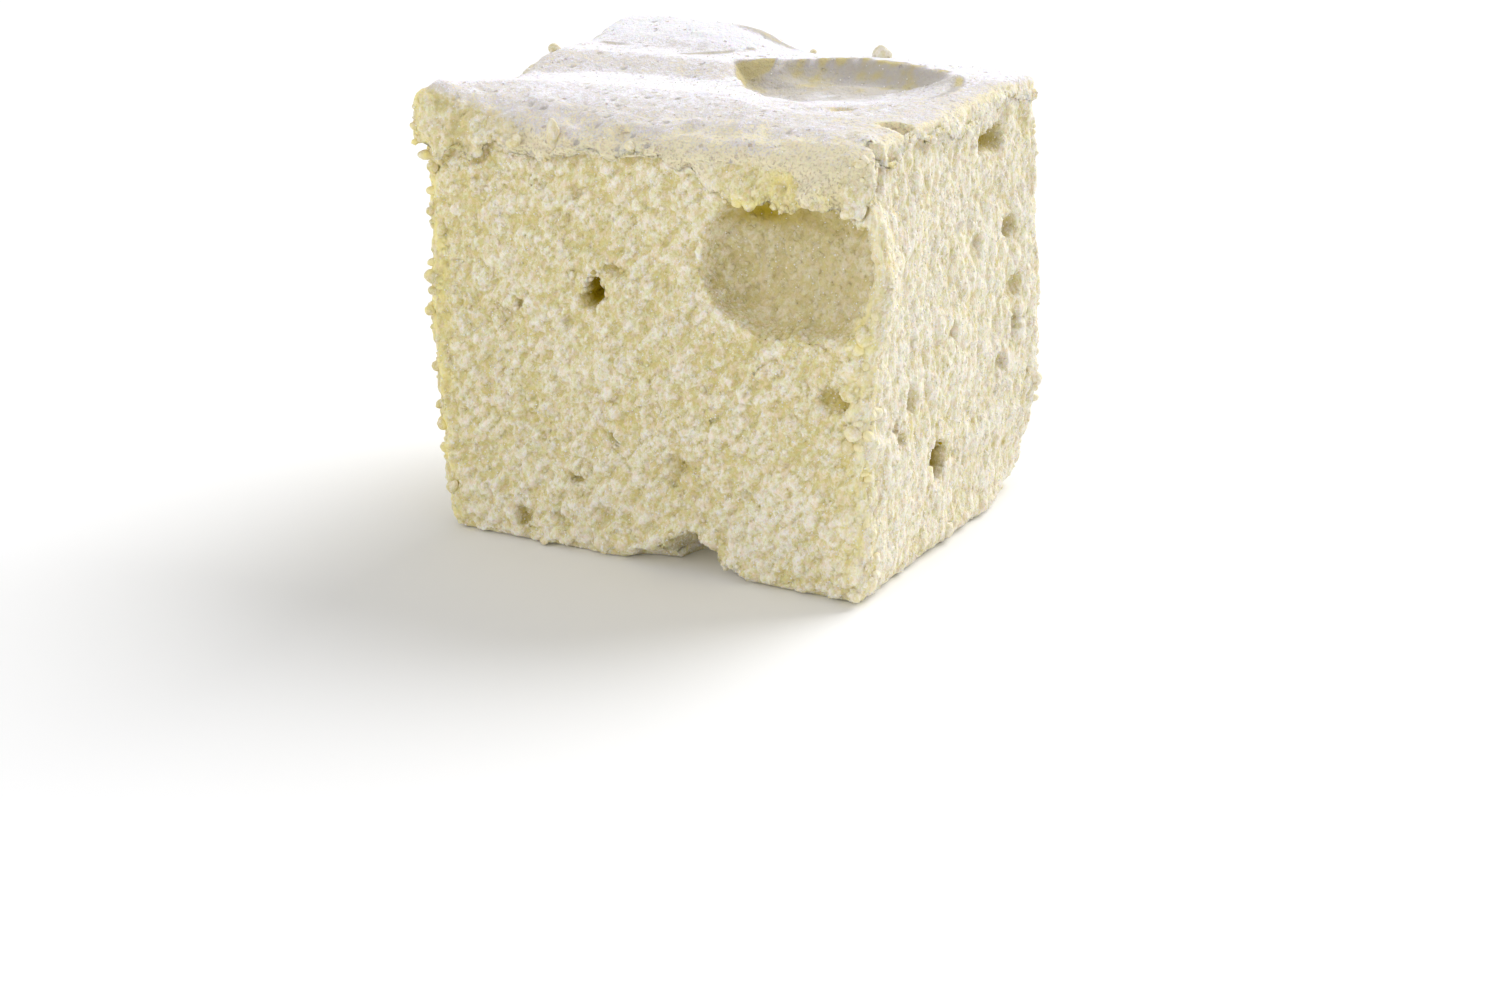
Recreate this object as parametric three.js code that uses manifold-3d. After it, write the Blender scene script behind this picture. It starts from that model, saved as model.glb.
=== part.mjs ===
// A hand-cut square marshmallow, one solid piece, in millimetres with +Z up.
// The front face looks along -Y, the right face along +X, and the block rests on z = 0.
// A slab was poured, its top spread with a spatula and left to set, and then cut into squares, so that
// four sides and the bottom are cut faces and the top is the slab's own skin, which hangs over as a lip.
import * as THREE from "three";
import { mergeVertices } from "three/addons/utils/BufferGeometryUtils.js";
import Module from "manifold-3d";

// ---- Driving sizes ----
const WIDTH = 38; // along X, cut face to cut face
const DEPTH = 31.4; // along Y
const HEIGHT = 35; // table to the level of the top
const EDGE_ROUND = 1.3; // radius of every edge
const ROWS = { below: 23, above: 6 }; // rows of cells up a side, below and above the lip's lower edge
const CELLS = { x: 30, y: 23, z: ROWS.below + ROWS.above }; // mesh cells along each side
const EDGE_CROWDING = 0.3; // 0 spreads the cells evenly, 1 packs them at the edges

// How far the corners of the block stand from a true box, as (x, y) at the bottom and at the top.
const CORNER_SHIFT = {
  frontLeft: { bottom: [0.3, 0.5], top: [-0.1, 0.6] },
  frontRight: { bottom: [0, -0.5], top: [0.1, 0.2] },
  backRight: { bottom: [-0.2, 1.2], top: [0, -1.1] },
  backLeft: { bottom: [0.5, 0.2], top: [-0.4, 0.4] },
};
const BELLY = { left: 0.9, right: 0.3, front: 0.2, back: 0.3 }; // how far each side bulges at half height

// The spatula's strokes lie over each other like tiles. Each has a crest, given by knots [x, y, height
// above HEIGHT], a dome that falls by dome over the length over in front of it, and an even slope behind it.
const STROKES = [
  {
    crest: [
      [-19.5, -15.6, 1.15], [-17.6, -14.4, 1.15], [-16, -12, 1.05], [-13.7, -9.9, 0.95], [-10.7, -8.8, 0.85],
      [-6.1, -7.5, 0.7], [0.3, -6.6, 0.6], [3.2, -6.9, 0.6], [5.3, -8.2, 0.6], [7.5, -9.8, 0.5],
      [9.5, -8.9, 0.4], [13.9, -7.8, 0.3], [19.5, -7, 0.1],
    ],
    dome: 1.25, over: 8.5, slope: 0.165,
  },
  {
    crest: [
      [-19.5, 3.6, 0.5], [-16.6, 4.4, 0.3], [-13, 5, 0.2], [-10, 5.6, 0.15], [-3, 6.6, 0.1], [0, 7, 0],
    ],
    dome: 1.6, over: 5, slope: 0.08,
    // Where the spatula was lifted off: past the line x = at.x - lean * (y - at.y) the tile drops away,
    // up to the length over, but not behind till.
    end: { at: { x: -1.3, y: 2 }, lean: 0.42, drop: 1.1, over: 3.2, till: 9, fade: 3 },
  },
];
const DOME_POWER = 1.4; // above 1 eases the crest
const CREST_EASE = [-1, -0.5, 0, 0.5, 1]; // steps along X over which the crest's corners are averaged
const VALLEY = { drop: 0.9, fromX: 7, toX: -6 }; // below the strokes the top lies lower, to the left
// The last of the spatula's load: a dome along Y whose ends fall away, the left one gently.
const HUMP = {
  top: 1.35, x: -12.6, y: 15.5, over: 7.6, dome: 1.7,
  left: { reach: 13, power: 2.5 }, right: { reach: 9.2, power: 5 }, ends: 2.4,
};
const MEETING = { strokes: 0.25, hump: 0.5 }; // how softly one lies on the other
const BACK_FALL = 0.3; // the top falls by this to the back edge
const NOSE = { reach: 4.2, share: 0.24, fromX: -18, toX: -11 }; // the front roll's rounding
// A scoop that the spatula's tip left, a superellipse turned about Z. Its left end is pointed and lies
// nearer to the back, and its front right wall is the gentle one.
const SCOOP = { x: 7.8, y: 4.3, left: 12, right: 8.8, wide: 8.3, turnDeg: -2 };
const SCOOP_DEPTH = { middle: 1.45, deeperBehind: 0.3, deeperLeft: 0.3 };
const SCOOP_WALL = { gentle: 1.6, steep: 8, from: -0.5, to: 0.1, turned: 0.5 }; // powers of the depth
const SCOOP_SQUARE = { tip: 1.25, rest: 2, from: -1, to: -0.1, aside: -0.34 };

// The skin's lip. Its lower edge is at LIP.z at mid width and climbs to the right by LIP.climb per mm.
// Its reach past the cut face falls from left to right by LIP.reachFall per mm. LIP.bulge of it is round,
// and greatest at the share LIP.bulgeAt of the way from the edge to the top.
const LIP = {
  z: 32.1, climb: 0.05, step: 0.25, wave: 0.3, reach: 0.8, reachFall: 0.031, leastReach: 0.2,
  bulge: 0.45, bulgeAt: 0.3, bulgeSpread: 0.35,
};
// Where the lip sags down the front as a thick flap, over the hollow.
const FLAP = { fromX: 4.5, width: 3.6, drop: 3.0, reach: 1.3 };

// A large bubble that the knife cut open below the flap, and the smaller ones, as ellipsoids sunk in a
// face: u runs to the right as seen from outside, v is the height above the table (on the top it runs to
// the back), and depth is inwards. square above 2 makes it a rounder-cornered box. proud is how far the
// cut reaches out of the face, which leaves the flap whole over the hollow.
const HOLLOW = {
  face: "front", u: 12.1, v: 25.4, wide: 13.4, tall: 10.4, depth: 3.2, square: 3, proud: 0.8, detail: 5,
};
const BUBBLES = [
  { face: "front", u: -4.1, v: 21.6, wide: 1.7, tall: 2.1, depth: 2.2 },
  { face: "front", u: -12, v: 18.5, wide: 1.3, tall: 1.3, depth: 0.8 },
  { face: "front", u: -11.3, v: 2.3, wide: 2.0, tall: 1.7, depth: 0.8 },
  { face: "front", u: 2.6, v: 8.4, wide: 2.4, tall: 2.8, depth: 0.7 },
  { face: "front", u: 16.4, v: 15.9, wide: 2.2, tall: 2.2, depth: 0.6 },
  { face: "right", u: -3.0, v: 7.8, wide: 3.0, tall: 2.9, depth: 2.6 },
  { face: "right", u: 6.6, v: 30.9, wide: 4.6, tall: 2.1, depth: 1.2 },
  { face: "right", u: 9.5, v: 23.5, wide: 2.4, tall: 2.1, depth: 0.6 },
  { face: "right", u: -8.4, v: 14.2, wide: 1.9, tall: 1.7, depth: 0.5 },
  { face: "right", u: -13.4, v: 33.4, wide: 1.3, tall: 4.4, depth: 1.5 },
  { face: "top", u: 18.2, v: -8.4, wide: 2.6, tall: 1.8, depth: 1.5 },
  { face: "top", u: 11.6, v: -4.9, wide: 1.8, tall: 1.0, depth: 0.9 },
  { face: "back", u: -7.5, v: 22.0, wide: 5.2, tall: 3.6, depth: 1.7 },
  { face: "back", u: 5.5, v: 11.0, wide: 2.2, tall: 2.0, depth: 2.2 },
  { face: "back", u: 11.5, v: 26.5, wide: 2.4, tall: 1.9, depth: 1.2 },
  { face: "left", u: 4.5, v: 13.0, wide: 2.4, tall: 2.2, depth: 2.1 },
  { face: "left", u: -6.5, v: 24.5, wide: 3.8, tall: 2.8, depth: 1.3 },
  { face: "left", u: -2.0, v: 5.5, wide: 1.7, tall: 1.6, depth: 1.4 },
];
const BUBBLE_DETAIL = 1; // subdivisions of the small bubbles' icosahedron

// The arch in the front face's bottom edge: a low wide one, and the deep notch inside it.
const ARCH = [
  { face: "front", u: 3.2, v: 0.1, wide: 11.2, tall: 3.0, depth: 2.4, detail: 2 },
  { face: "front", u: 3.9, v: 0.6, wide: 4.6, tall: 4.8, depth: 4.6, square: 2.4, detail: 2 },
];

// The bottom corner at the back right is worn: what is within reach moves by up to pull, along inwards.
const WORN_CORNER = { reach: 9, pull: 2.2, inwards: [-0.45, -0.75, 0.3] };
const SWELL = 0.25; // how far the cut faces bulge and dip
const TORN_EDGE = { x: WIDTH / 2, y: -DEPTH / 2, z: 16, wide: 2.6, tall: 5, reach: 0.6 }; // front right edge

// ---- Shape functions ----
const { lerp, clamp } = THREE.MathUtils;
const smoothstep = (from, to, value) => {
  const t = clamp((value - from) / (to - from), 0, 1);
  return t * t * (3 - 2 * t);
};
const bell = (value, width, power = 2) => Math.exp(-(Math.abs(value / width) ** power));

// Value of a broken line through the knots at x.
function broken(knots, x) {
  const after = knots.findIndex(([at]) => at >= x);
  if (after === 0) return knots[0][1];
  if (after < 0) return knots.at(-1)[1];
  const [[from, low], [to, high]] = [knots[after - 1], knots[after]];
  return lerp(low, high, (x - from) / (to - from));
}

// The crest's place in Y and its height at x, with the corners eased.
function crestAt(crest, x) {
  const mean = (column) => {
    const knots = crest.map((knot) => [knot[0], knot[column]]);
    return CREST_EASE.reduce((sum, step) => sum + broken(knots, x + step), 0) / CREST_EASE.length;
  };
  return { at: mean(1), tall: mean(2) };
}

// The larger of two, with the corner between them eased.
const higher = (a, b, ease) => (a + b + Math.hypot(a - b, ease)) / 2;

// Height of one stroke's tile.
function tile(stroke, x, y) {
  const { at, tall } = crestAt(stroke.crest, x);
  const front = stroke.dome * (Math.max(at - y, 0) / stroke.over) ** DOME_POWER;
  const z = tall - front - stroke.slope * Math.max(y - at, 0);
  if (!stroke.end) return z;
  const end = stroke.end;
  const past = x - end.at.x + end.lean * (y - end.at.y);
  const lifted = end.drop * smoothstep(-end.over / 2, end.over / 2, past);
  return z - lifted * smoothstep(end.till, end.till - end.fade, y);
}

// Height of the hump.
function hump(x, y) {
  const aside = x - HUMP.x;
  const end = aside < 0 ? HUMP.left : HUMP.right;
  const fall = HUMP.ends * (1 - bell(aside, end.reach, end.power));
  return HUMP.top - HUMP.dome * ((y - HUMP.y) / HUMP.over) ** 2 - fall;
}

// Depth of the scoop.
function scoop(x, y) {
  const turn = THREE.MathUtils.degToRad(SCOOP.turnDeg);
  const dx = x - SCOOP.x;
  const dy = y - SCOOP.y;
  const along = dx * Math.cos(turn) + dy * Math.sin(turn);
  const u = along / (along < 0 ? SCOOP.left : SCOOP.right);
  const v = (dy * Math.cos(turn) - dx * Math.sin(turn)) / SCOOP.wide + SCOOP_SQUARE.aside * Math.max(-u, 0);
  const square = lerp(SCOOP_SQUARE.tip, SCOOP_SQUARE.rest, smoothstep(SCOOP_SQUARE.from, SCOOP_SQUARE.to, u));
  const r = (Math.abs(u) ** square + Math.abs(v) ** square) ** (1 / square);
  const side = (SCOOP_WALL.turned * v - u) / Math.max(r, 0.1);
  const steep = smoothstep(SCOOP_WALL.from, SCOOP_WALL.to, side);
  const steepness = lerp(SCOOP_WALL.gentle, SCOOP_WALL.steep, steep);
  const deeper = SCOOP_DEPTH.deeperBehind * v - SCOOP_DEPTH.deeperLeft * u;
  return SCOOP_DEPTH.middle * Math.max(0, 1 - r ** steepness) * (1 + deeper);
}

// Height of the top above HEIGHT at (x, y): the strokes and the hump, one lying on the other, less the
// scoop and the rounding of the front roll.
function topRelief(x, y) {
  let z = -VALLEY.drop * smoothstep(VALLEY.fromX, VALLEY.toX, x);
  z -= BACK_FALL * smoothstep(DEPTH / 4, DEPTH / 2, y);
  for (const stroke of STROKES) z = higher(z, tile(stroke, x, y), MEETING.strokes);
  z = higher(z, hump(x, y), MEETING.hump) - scoop(x, y);
  const near = clamp(1 - (y + DEPTH / 2) / NOSE.reach, 0, 1);
  const round = NOSE.share * NOSE.reach * (1 - Math.sqrt(1 - near ** 2));
  return z - round * smoothstep(NOSE.fromX, NOSE.toX, x);
}

// How much of the flap there is at x, from 0 to 1, where front is 1 on the front face.
const flapShare = (x, front) => front * smoothstep(FLAP.fromX, FLAP.fromX + FLAP.width, x);

// Height of the lip's lower edge.
function lipEdge(x, y, front) {
  const wave = LIP.wave * (Math.sin(0.9 * x + 0.4 * y) + 0.6 * Math.sin(2.1 * x - 1.3 * y + 1));
  return LIP.z + LIP.climb * x + wave - FLAP.drop * flapShare(x, front);
}

// How far the lip stands out at a share of the way up from its lower edge to the top.
function lipReach(x, front, share) {
  const plain = Math.max(LIP.leastReach, LIP.reach - LIP.reachFall * x);
  const bulge = LIP.bulge * bell(share - LIP.bulgeAt, LIP.bulgeSpread);
  return share > 0 ? lerp(plain, FLAP.reach, flapShare(x, front)) * (1 - LIP.bulge + bulge) : 0;
}

// The rows of cells up a side lie at even levels. This moves them so that the row at the top of
// ROWS.below follows the lip's lower edge, and the next one stands LIP.step above it.
const crowd = (t) => t + (EDGE_CROWDING * Math.sin(Math.PI * t)) / Math.PI;
const rowLevel = (row) => ((crowd((2 * row) / CELLS.z - 1) + 1) * HEIGHT) / 2;
function fitRow(level, edge) {
  const under = rowLevel(ROWS.below);
  const over = rowLevel(ROWS.below + 1);
  if (level <= under) return (level * edge) / under;
  if (level <= over) return edge + (LIP.step * (level - under)) / (over - under);
  return lerp(edge + LIP.step, HEIGHT, (level - over) / (HEIGHT - over));
}

// Bulge of the cut faces: each side's belly, and slow waves that die out at the table.
function swell(x, y, z, normal) {
  const belly =
    (normal.x < 0 ? BELLY.left : BELLY.right) * Math.abs(normal.x) +
    (normal.y < 0 ? BELLY.front : BELLY.back) * Math.abs(normal.y);
  const waves =
    Math.sin(0.21 * x + 0.13 * z + 0.5) * Math.cos(0.19 * y - 0.16 * z) +
    0.6 * Math.sin(0.37 * z + 0.29 * x - 0.33 * y + 2);
  return belly * Math.sin((Math.PI * z) / HEIGHT) + SWELL * waves * smoothstep(0, 3, z);
}

// Torn foam that stands out along the front right edge.
const torn = (x, y, z) =>
  TORN_EDGE.reach *
  bell(Math.hypot(x - TORN_EDGE.x, y - TORN_EDGE.y), TORN_EDGE.wide) *
  bell(z - TORN_EDGE.z, TORN_EDGE.tall) *
  (0.6 + 0.4 * Math.sin(1.2 * z));

// Bilinear shift of the corners at the shares s (left to right), t (front to back) and w (bottom to top).
function cornerShift(s, t, w) {
  const c = CORNER_SHIFT;
  return [0, 1].map((axis) => {
    const at = (corner) => lerp(corner.bottom[axis], corner.top[axis], w);
    return lerp(lerp(at(c.frontLeft), at(c.frontRight), s), lerp(at(c.backLeft), at(c.backRight), s), t);
  });
}

// Takes a point of the cube from -1 to 1 to the surface of the block. The cube becomes a box with round
// edges, whose sides then move along their horizontal normal and whose top takes the relief.
function blockPoint(cube) {
  const half = new THREE.Vector3(WIDTH, DEPTH, HEIGHT).divideScalar(2);
  const flat = new THREE.Vector3(crowd(cube.x), crowd(cube.y), crowd(cube.z)).multiply(half);
  const core = flat.clone().clamp(
    half.clone().negate().addScalar(EDGE_ROUND),
    half.clone().subScalar(EDGE_ROUND),
  );
  const normal = flat.sub(core).normalize();
  const point = core.addScaledVector(normal, EDGE_ROUND);
  const { x, y } = point;
  const front = Math.max(0, -normal.y) / Math.max(1e-6, Math.hypot(normal.x, normal.y));
  const edge = lipEdge(x, y, front);
  const z = fitRow(point.z + HEIGHT / 2, edge);
  const share = clamp((z - edge) / (HEIGHT - edge), 0, 1);
  const out = lipReach(x, front, share) + swell(x, y, z, normal) + torn(x, y, z);
  const [shiftX, shiftY] = cornerShift(x / WIDTH + 0.5, y / DEPTH + 0.5, z / HEIGHT);
  point.x += out * normal.x + shiftX;
  point.y += out * normal.y + shiftY;
  point.z = z + topRelief(x, y) * smoothstep(0, 1, share);
  const worn = new THREE.Vector3(WIDTH / 2, DEPTH / 2, 0);
  const near = 1 - smoothstep(0, WORN_CORNER.reach, point.distanceTo(worn));
  const inwards = new THREE.Vector3(...WORN_CORNER.inwards);
  if (z < 0.01) inwards.z = 0; // the base stays flat
  return point.addScaledVector(inwards, WORN_CORNER.pull * near);
}

// ---- Solids ----
const wasm = await Module();
wasm.setup();

function solidOf(geometry) {
  geometry.deleteAttribute("normal");
  geometry.deleteAttribute("uv");
  const merged = mergeVertices(geometry, 1e-4);
  return new wasm.Manifold(
    new wasm.Mesh({
      numProp: 3,
      vertProperties: merged.attributes.position.array,
      triVerts: new Uint32Array(merged.index.array),
    }),
  );
}

function geometryOf(solid) {
  const mesh = solid.getMesh();
  return new THREE.BufferGeometry()
    .setAttribute("position", new THREE.BufferAttribute(mesh.vertProperties, 3))
    .setIndex(new THREE.BufferAttribute(mesh.triVerts, 1));
}

function block() {
  const geometry = new THREE.BoxGeometry(2, 2, 2, CELLS.x, CELLS.y, CELLS.z);
  const position = geometry.getAttribute("position");
  const cube = new THREE.Vector3();
  for (let i = 0; i < position.count; i++) {
    const point = blockPoint(cube.fromBufferAttribute(position, i));
    position.setXYZ(i, point.x, point.y, point.z);
  }
  return solidOf(geometry);
}

// Outward normal of each face, the directions of u and v on it, and its distance from the middle.
const FACES = {
  front: { normal: [0, -1, 0], right: [1, 0, 0], up: [0, 0, 1], stand: DEPTH / 2 },
  right: { normal: [1, 0, 0], right: [0, 1, 0], up: [0, 0, 1], stand: WIDTH / 2 },
  back: { normal: [0, 1, 0], right: [-1, 0, 0], up: [0, 0, 1], stand: DEPTH / 2 },
  left: { normal: [-1, 0, 0], right: [0, -1, 0], up: [0, 0, 1], stand: WIDTH / 2 },
  top: { normal: [0, 0, 1], right: [1, 0, 0], up: [0, 1, 0], stand: HEIGHT },
};

// A bubble: a superellipsoid (an ellipsoid where square is 2) centred on its face.
function bubble({ face, u, v, wide, tall, depth, square = 2, proud = depth, detail = BUBBLE_DETAIL }) {
  const geometry = new THREE.IcosahedronGeometry(1, detail);
  const position = geometry.getAttribute("position");
  const point = new THREE.Vector3();
  for (let i = 0; i < position.count; i++) {
    point.fromBufferAttribute(position, i);
    const size = point.toArray().reduce((sum, t) => sum + Math.abs(t) ** square, 0) ** (1 / square);
    point.divideScalar(size);
    position.setXYZ(i, (point.x * wide) / 2, (point.y * tall) / 2, point.z * (point.z > 0 ? proud : depth));
  }
  const [normal, right, up] = ["normal", "right", "up"].map((way) => new THREE.Vector3(...FACES[face][way]));
  const place = new THREE.Matrix4().makeBasis(right, up, normal);
  const centre = new THREE.Vector3(u, v, FACES[face].stand).applyMatrix4(place);
  return solidOf(geometry.applyMatrix4(place.setPosition(centre)));
}

let solid = block();
for (const hole of [HOLLOW, ...BUBBLES, ...ARCH]) solid = solid.subtract(bubble(hole));

const geometry = geometryOf(solid);
geometry.computeBoundingBox();
const middle = geometry.boundingBox.getCenter(new THREE.Vector3());
geometry.translate(-middle.x, -middle.y, 0);

const foam = new THREE.MeshStandardMaterial({ color: "#d0c59e", roughness: 0.95, metalness: 0 });
const marshmallow = new THREE.Mesh(geometry, foam);
marshmallow.name = "marshmallow";

const part = new THREE.Group();
part.add(marshmallow);
export default part;
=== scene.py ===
"""Looks of a hand-cut square marshmallow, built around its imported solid.

The shape functions work in millimetres in the block's own frame: the front cut face looks along -Y, the
right one along +X, and the block rests on z = 0. The finished meshes are in metres.
"""

import math

import bpy
import numpy as np
from bpy.props import FloatProperty, FloatVectorProperty, IntProperty, PointerProperty
from mathutils import Matrix, Vector


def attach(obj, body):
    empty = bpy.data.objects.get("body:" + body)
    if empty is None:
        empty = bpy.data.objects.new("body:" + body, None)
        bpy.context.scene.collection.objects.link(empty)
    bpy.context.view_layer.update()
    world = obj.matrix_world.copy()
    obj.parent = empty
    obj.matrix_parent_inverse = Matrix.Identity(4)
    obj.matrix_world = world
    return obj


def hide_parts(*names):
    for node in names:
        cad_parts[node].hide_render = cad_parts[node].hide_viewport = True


bl_info = {
    "name": "Hand-cut marshmallow",
    "version": (1, 0, 0),
    "blender": (4, 5, 0),
    "location": "View3D > Sidebar > Marshmallow",
    "description": "Builds a foam block with a spread skin, its crumbs and dusting, and a pale stage",
    "category": "Object",
}

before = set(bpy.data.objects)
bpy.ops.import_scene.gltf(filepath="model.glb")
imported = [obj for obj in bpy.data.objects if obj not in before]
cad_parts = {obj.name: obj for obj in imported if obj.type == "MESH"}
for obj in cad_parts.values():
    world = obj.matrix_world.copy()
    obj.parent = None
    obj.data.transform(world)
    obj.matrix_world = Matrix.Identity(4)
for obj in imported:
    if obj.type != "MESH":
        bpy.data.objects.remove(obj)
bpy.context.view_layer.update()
NODE = "marshmallow"
MM = 0.001

# ---- Form of the block, in millimetres ----
WIDTH, DEPTH, HEIGHT = 38.0, 31.4, 35.0  # along X, Y and Z
HALF = np.array([WIDTH, DEPTH, HEIGHT]) / 2
MIDDLE = (-0.60, 0.166)  # what the block's own frame calls the middle of the solid's plan
EDGE_ROUND = 1.3
CELLS = (156, 116)  # along X and Y
ROWS = {"below": 119, "under": 5, "above": 16}  # up a side: below the lip, its underside, and the lip
BASE_INSETS = (11.0, 6.0, 3.0, 1.3, 0.85, 0.4)  # rings of the base, from the innermost

# How far the corners stand from a true box, as (x, y) at the bottom and at the top.
CORNER_SHIFT = {
    "front_left": ((0.3, 0.5), (-0.1, 0.6)),
    "front_right": ((0.0, -0.5), (0.1, 0.2)),
    "back_right": ((-0.2, 1.2), (0.0, -1.1)),
    "back_left": ((0.5, 0.2), (-0.4, 0.4)),
}
BELLY = {"left": 0.9, "right": 0.3, "front": 0.2, "back": 0.3}

# The spatula's strokes lie over each other like tiles. Each has a crest, as (x, y, height above HEIGHT), a
# dome in front of it and an even slope behind it.
STROKES = (
    dict(
        crest=(
            (-19.5, -15.6, 1.15), (-17.6, -14.4, 1.15), (-16.0, -12.0, 1.05), (-13.7, -9.9, 0.95),
            (-10.7, -8.8, 0.85), (-6.1, -7.5, 0.7), (0.3, -6.6, 0.6), (3.2, -6.9, 0.6), (5.3, -8.2, 0.6),
            (7.5, -9.8, 0.5), (9.5, -8.9, 0.4), (13.9, -7.8, 0.3), (19.5, -7.0, 0.1),
        ),
        dome=1.25, over=8.5, slope=0.165,
    ),
    dict(
        crest=(
            (-19.5, 3.6, 0.5), (-16.6, 4.4, 0.3), (-13.0, 5.0, 0.2), (-10.0, 5.6, 0.15), (-3.0, 6.6, 0.1),
            (0.0, 7.0, 0.0),
        ),
        dome=1.6, over=5.0, slope=0.08,
    ),
)
VALLEY = dict(drop=0.9, from_x=7, to_x=-6)
# Where the spatula was lifted off at the second stroke's right end.
STROKE_END = dict(x=-1.3, y=2.0, lean=0.42, drop=1.1, over=3.2, till=9.0, fade=3.0)
HUMP = dict(top=1.35, x=-12.6, y=15.5, left=13.0, right=9.2, over=7.6, dome=1.7, ends=2.4)
NOSE = dict(r=4.2, share=0.24)  # the roll's rounding at the front, on top of the edge's own
BACK_FALL = 0.3  # of the top's back half
# The scooped dish and its reach to the left and right of its middle. Its left end is pointed and lies aside.
# The steepness is that of the front right wall and of the others.
SCOOP = dict(
    x=7.8, y=4.3, left=12.0, right=8.8, wide=8.3, turn=math.radians(-2), tip_square=1.25, tip_aside=-0.34,
    square=2.0, depth=1.45, deeper_behind=0.3, deeper_left=0.3, steepness=(1.6, 8),
)
CRESCENT_SHADE = dict(x=-5.2, y=14.7, long=2.8, wide=0.6)  # painted shade at the hump's right end, where it is hollow
# The crack along the front of the hump, as (x, y), drawn as a line of painted shade.
CRACK_SHADE = ((-17.4, 8.7), (-14.1, 8.5), (-11.1, 7.2), (-9.6, 7.4), (-7.9, 8.2), (-6.4, 9.2), (-4.8, 11.4))

LIP = dict(
    z=32.1, climb=0.05, step=0.25, wave=0.3, reach=0.8, reach_fall=0.031, least_reach=0.2,
    bulge=0.45, bulge_at=0.3, bulge_spread=0.35, arch=0.5,
)
FLAP = dict(from_x=4.5, width=3.6, drop=3.0, reach=1.3, arch=1.1)
# The flap is skin above z and broken foam, set back a little, below it. The line falls at its right end.
TIER = dict(z=33.0, back=0.6, fall=3.2, from_x=12.5, to_x=16)

# Bubbles that the knife cut open: u runs to the right as seen from outside and v is the height above the
# table, or on the top the way to the back.
HOLLOW = dict(u=12.1, v=25.4, wide=13.4, tall=10.4, depth=3.2, square=4)
# The torn foam that stands up right of the hollow.
RIDGE = dict(r=1.13, wide=0.14, rise=0.45, from_x=16.5, to_x=18.5, behind=1.3)
THIN_WALL = dict(z=25.8, tall=4.2, wide=3.2, reach=1.5)  # the bubble's wall swells the edge to the right
# Spots on the front, as place across, height, half width, half height and strength: where light comes through
# the flap, and the dents between the lumps of the lip, in millimetres deep.
GLOWS = (
    (9.7, 30.0, 1.6, 0.6, 1.0),
    (15.2, 30.4, 1.6, 0.8, 1.0),
    (13.0, 31.4, 1.0, 1.2, 1.0),
    (17.0, 31.6, 0.8, 1.0, 1.0),
)
DENTS = (
    (-1.2, 34.2, 0.8, 0.9, 0.55),
    (-9.3, 33.7, 0.7, 1.1, 0.4),
    (3.6, 33.5, 0.6, 0.7, 0.3),
    (-4.0, 34.1, 0.6, 0.6, 0.25),
)
# Face, u, v, width, height and depth.
BUBBLES = (
    ("front", -4.1, 21.6, 1.7, 2.1, 2.2),
    ("front", -12.0, 18.5, 1.3, 1.3, 0.8),
    ("front", -11.0, 19.8, 0.7, 0.8, 0.6),
    ("front", -2.4, 23.5, 0.8, 0.7, 0.7),
    ("front", -12.3, 26.8, 0.7, 0.9, 0.5),
    ("front", -5.3, 29.0, 0.8, 0.8, 0.5),
    ("front", -6.1, 27.0, 0.8, 0.9, 0.5),
    ("front", -8.4, 29.4, 0.8, 0.7, 0.4),
    ("front", -2.8, 10.0, 1.0, 0.8, 0.5),
    ("front", -6.1, 6.2, 1.8, 0.6, 0.8),
    ("front", -8.1, 2.8, 1.1, 0.9, 0.6),
    ("front", -3.7, 3.4, 1.9, 1.8, 0.35),
    ("front", 8.9, 7.3, 1.0, 0.9, 0.4),
    ("front", -6.5, 19.0, 0.8, 0.7, 0.5),
    ("front", -11.3, 2.3, 2.0, 1.7, 0.8),
    ("front", 2.6, 8.4, 2.4, 2.8, 0.7),
    ("front", 16.4, 15.9, 2.2, 2.2, 0.6),
    ("right", -3.0, 7.8, 3.0, 2.9, 2.6),
    ("right", 6.6, 30.9, 4.6, 2.1, 1.2),
    ("right", 9.5, 23.5, 2.4, 2.1, 0.6),
    ("right", -8.4, 14.2, 1.9, 1.7, 0.5),
    ("right", 10.7, 18.2, 2.2, 2.4, 0.5),
    ("right", 10.8, 15.2, 1.6, 1.8, 0.35),
    ("right", 3.4, 23.3, 1.5, 1.8, 0.4),
    ("right", -1.0, 17.7, 0.9, 1.4, 0.4),
    ("right", 8.4, 12.6, 1.6, 1.6, 0.4),
    ("right", -10.9, 12.7, 0.7, 1.0, 0.6),
    ("right", -10.1, 11.6, 0.8, 0.8, 0.5),
    ("right", 1.9, 6.2, 0.9, 1.4, 0.4),
    ("front", -1.6, 34.2, 0.9, 0.8, 0.5),
    ("top", 18.2, -8.4, 2.6, 1.8, 1.5),
    ("top", 11.6, -4.9, 1.8, 1.0, 0.9),
    ("back", -7.5, 22.0, 5.2, 3.6, 1.7),
    ("back", 5.5, 11.0, 2.2, 2.0, 2.2),
    ("back", 11.5, 26.5, 2.4, 1.9, 1.2),
    ("left", 4.5, 13.0, 2.4, 2.2, 2.1),
    ("left", -6.5, 24.5, 3.8, 2.8, 1.3),
    ("left", -2.0, 5.5, 1.7, 1.6, 1.4),
)
CREASE = dict(y=-13.4, z=33.4, wide=1.3, tall=4.4, depth=1.5)  # a fold in the right face below the top
ARCH = (
    dict(u=3.2, v=0.1, wide=11.2, tall=3.0, depth=2.4, square=2.0),
    dict(u=3.9, v=0.6, wide=4.6, tall=4.8, depth=4.6, square=2.4),
)
ARCH_FADE = 9.0  # the base is drawn in behind the arch over this length
WORN_CORNER = dict(reach=9, pull=2.2, inwards=(-0.45, -0.75, 0.3))
SWELL = 0.25
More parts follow.
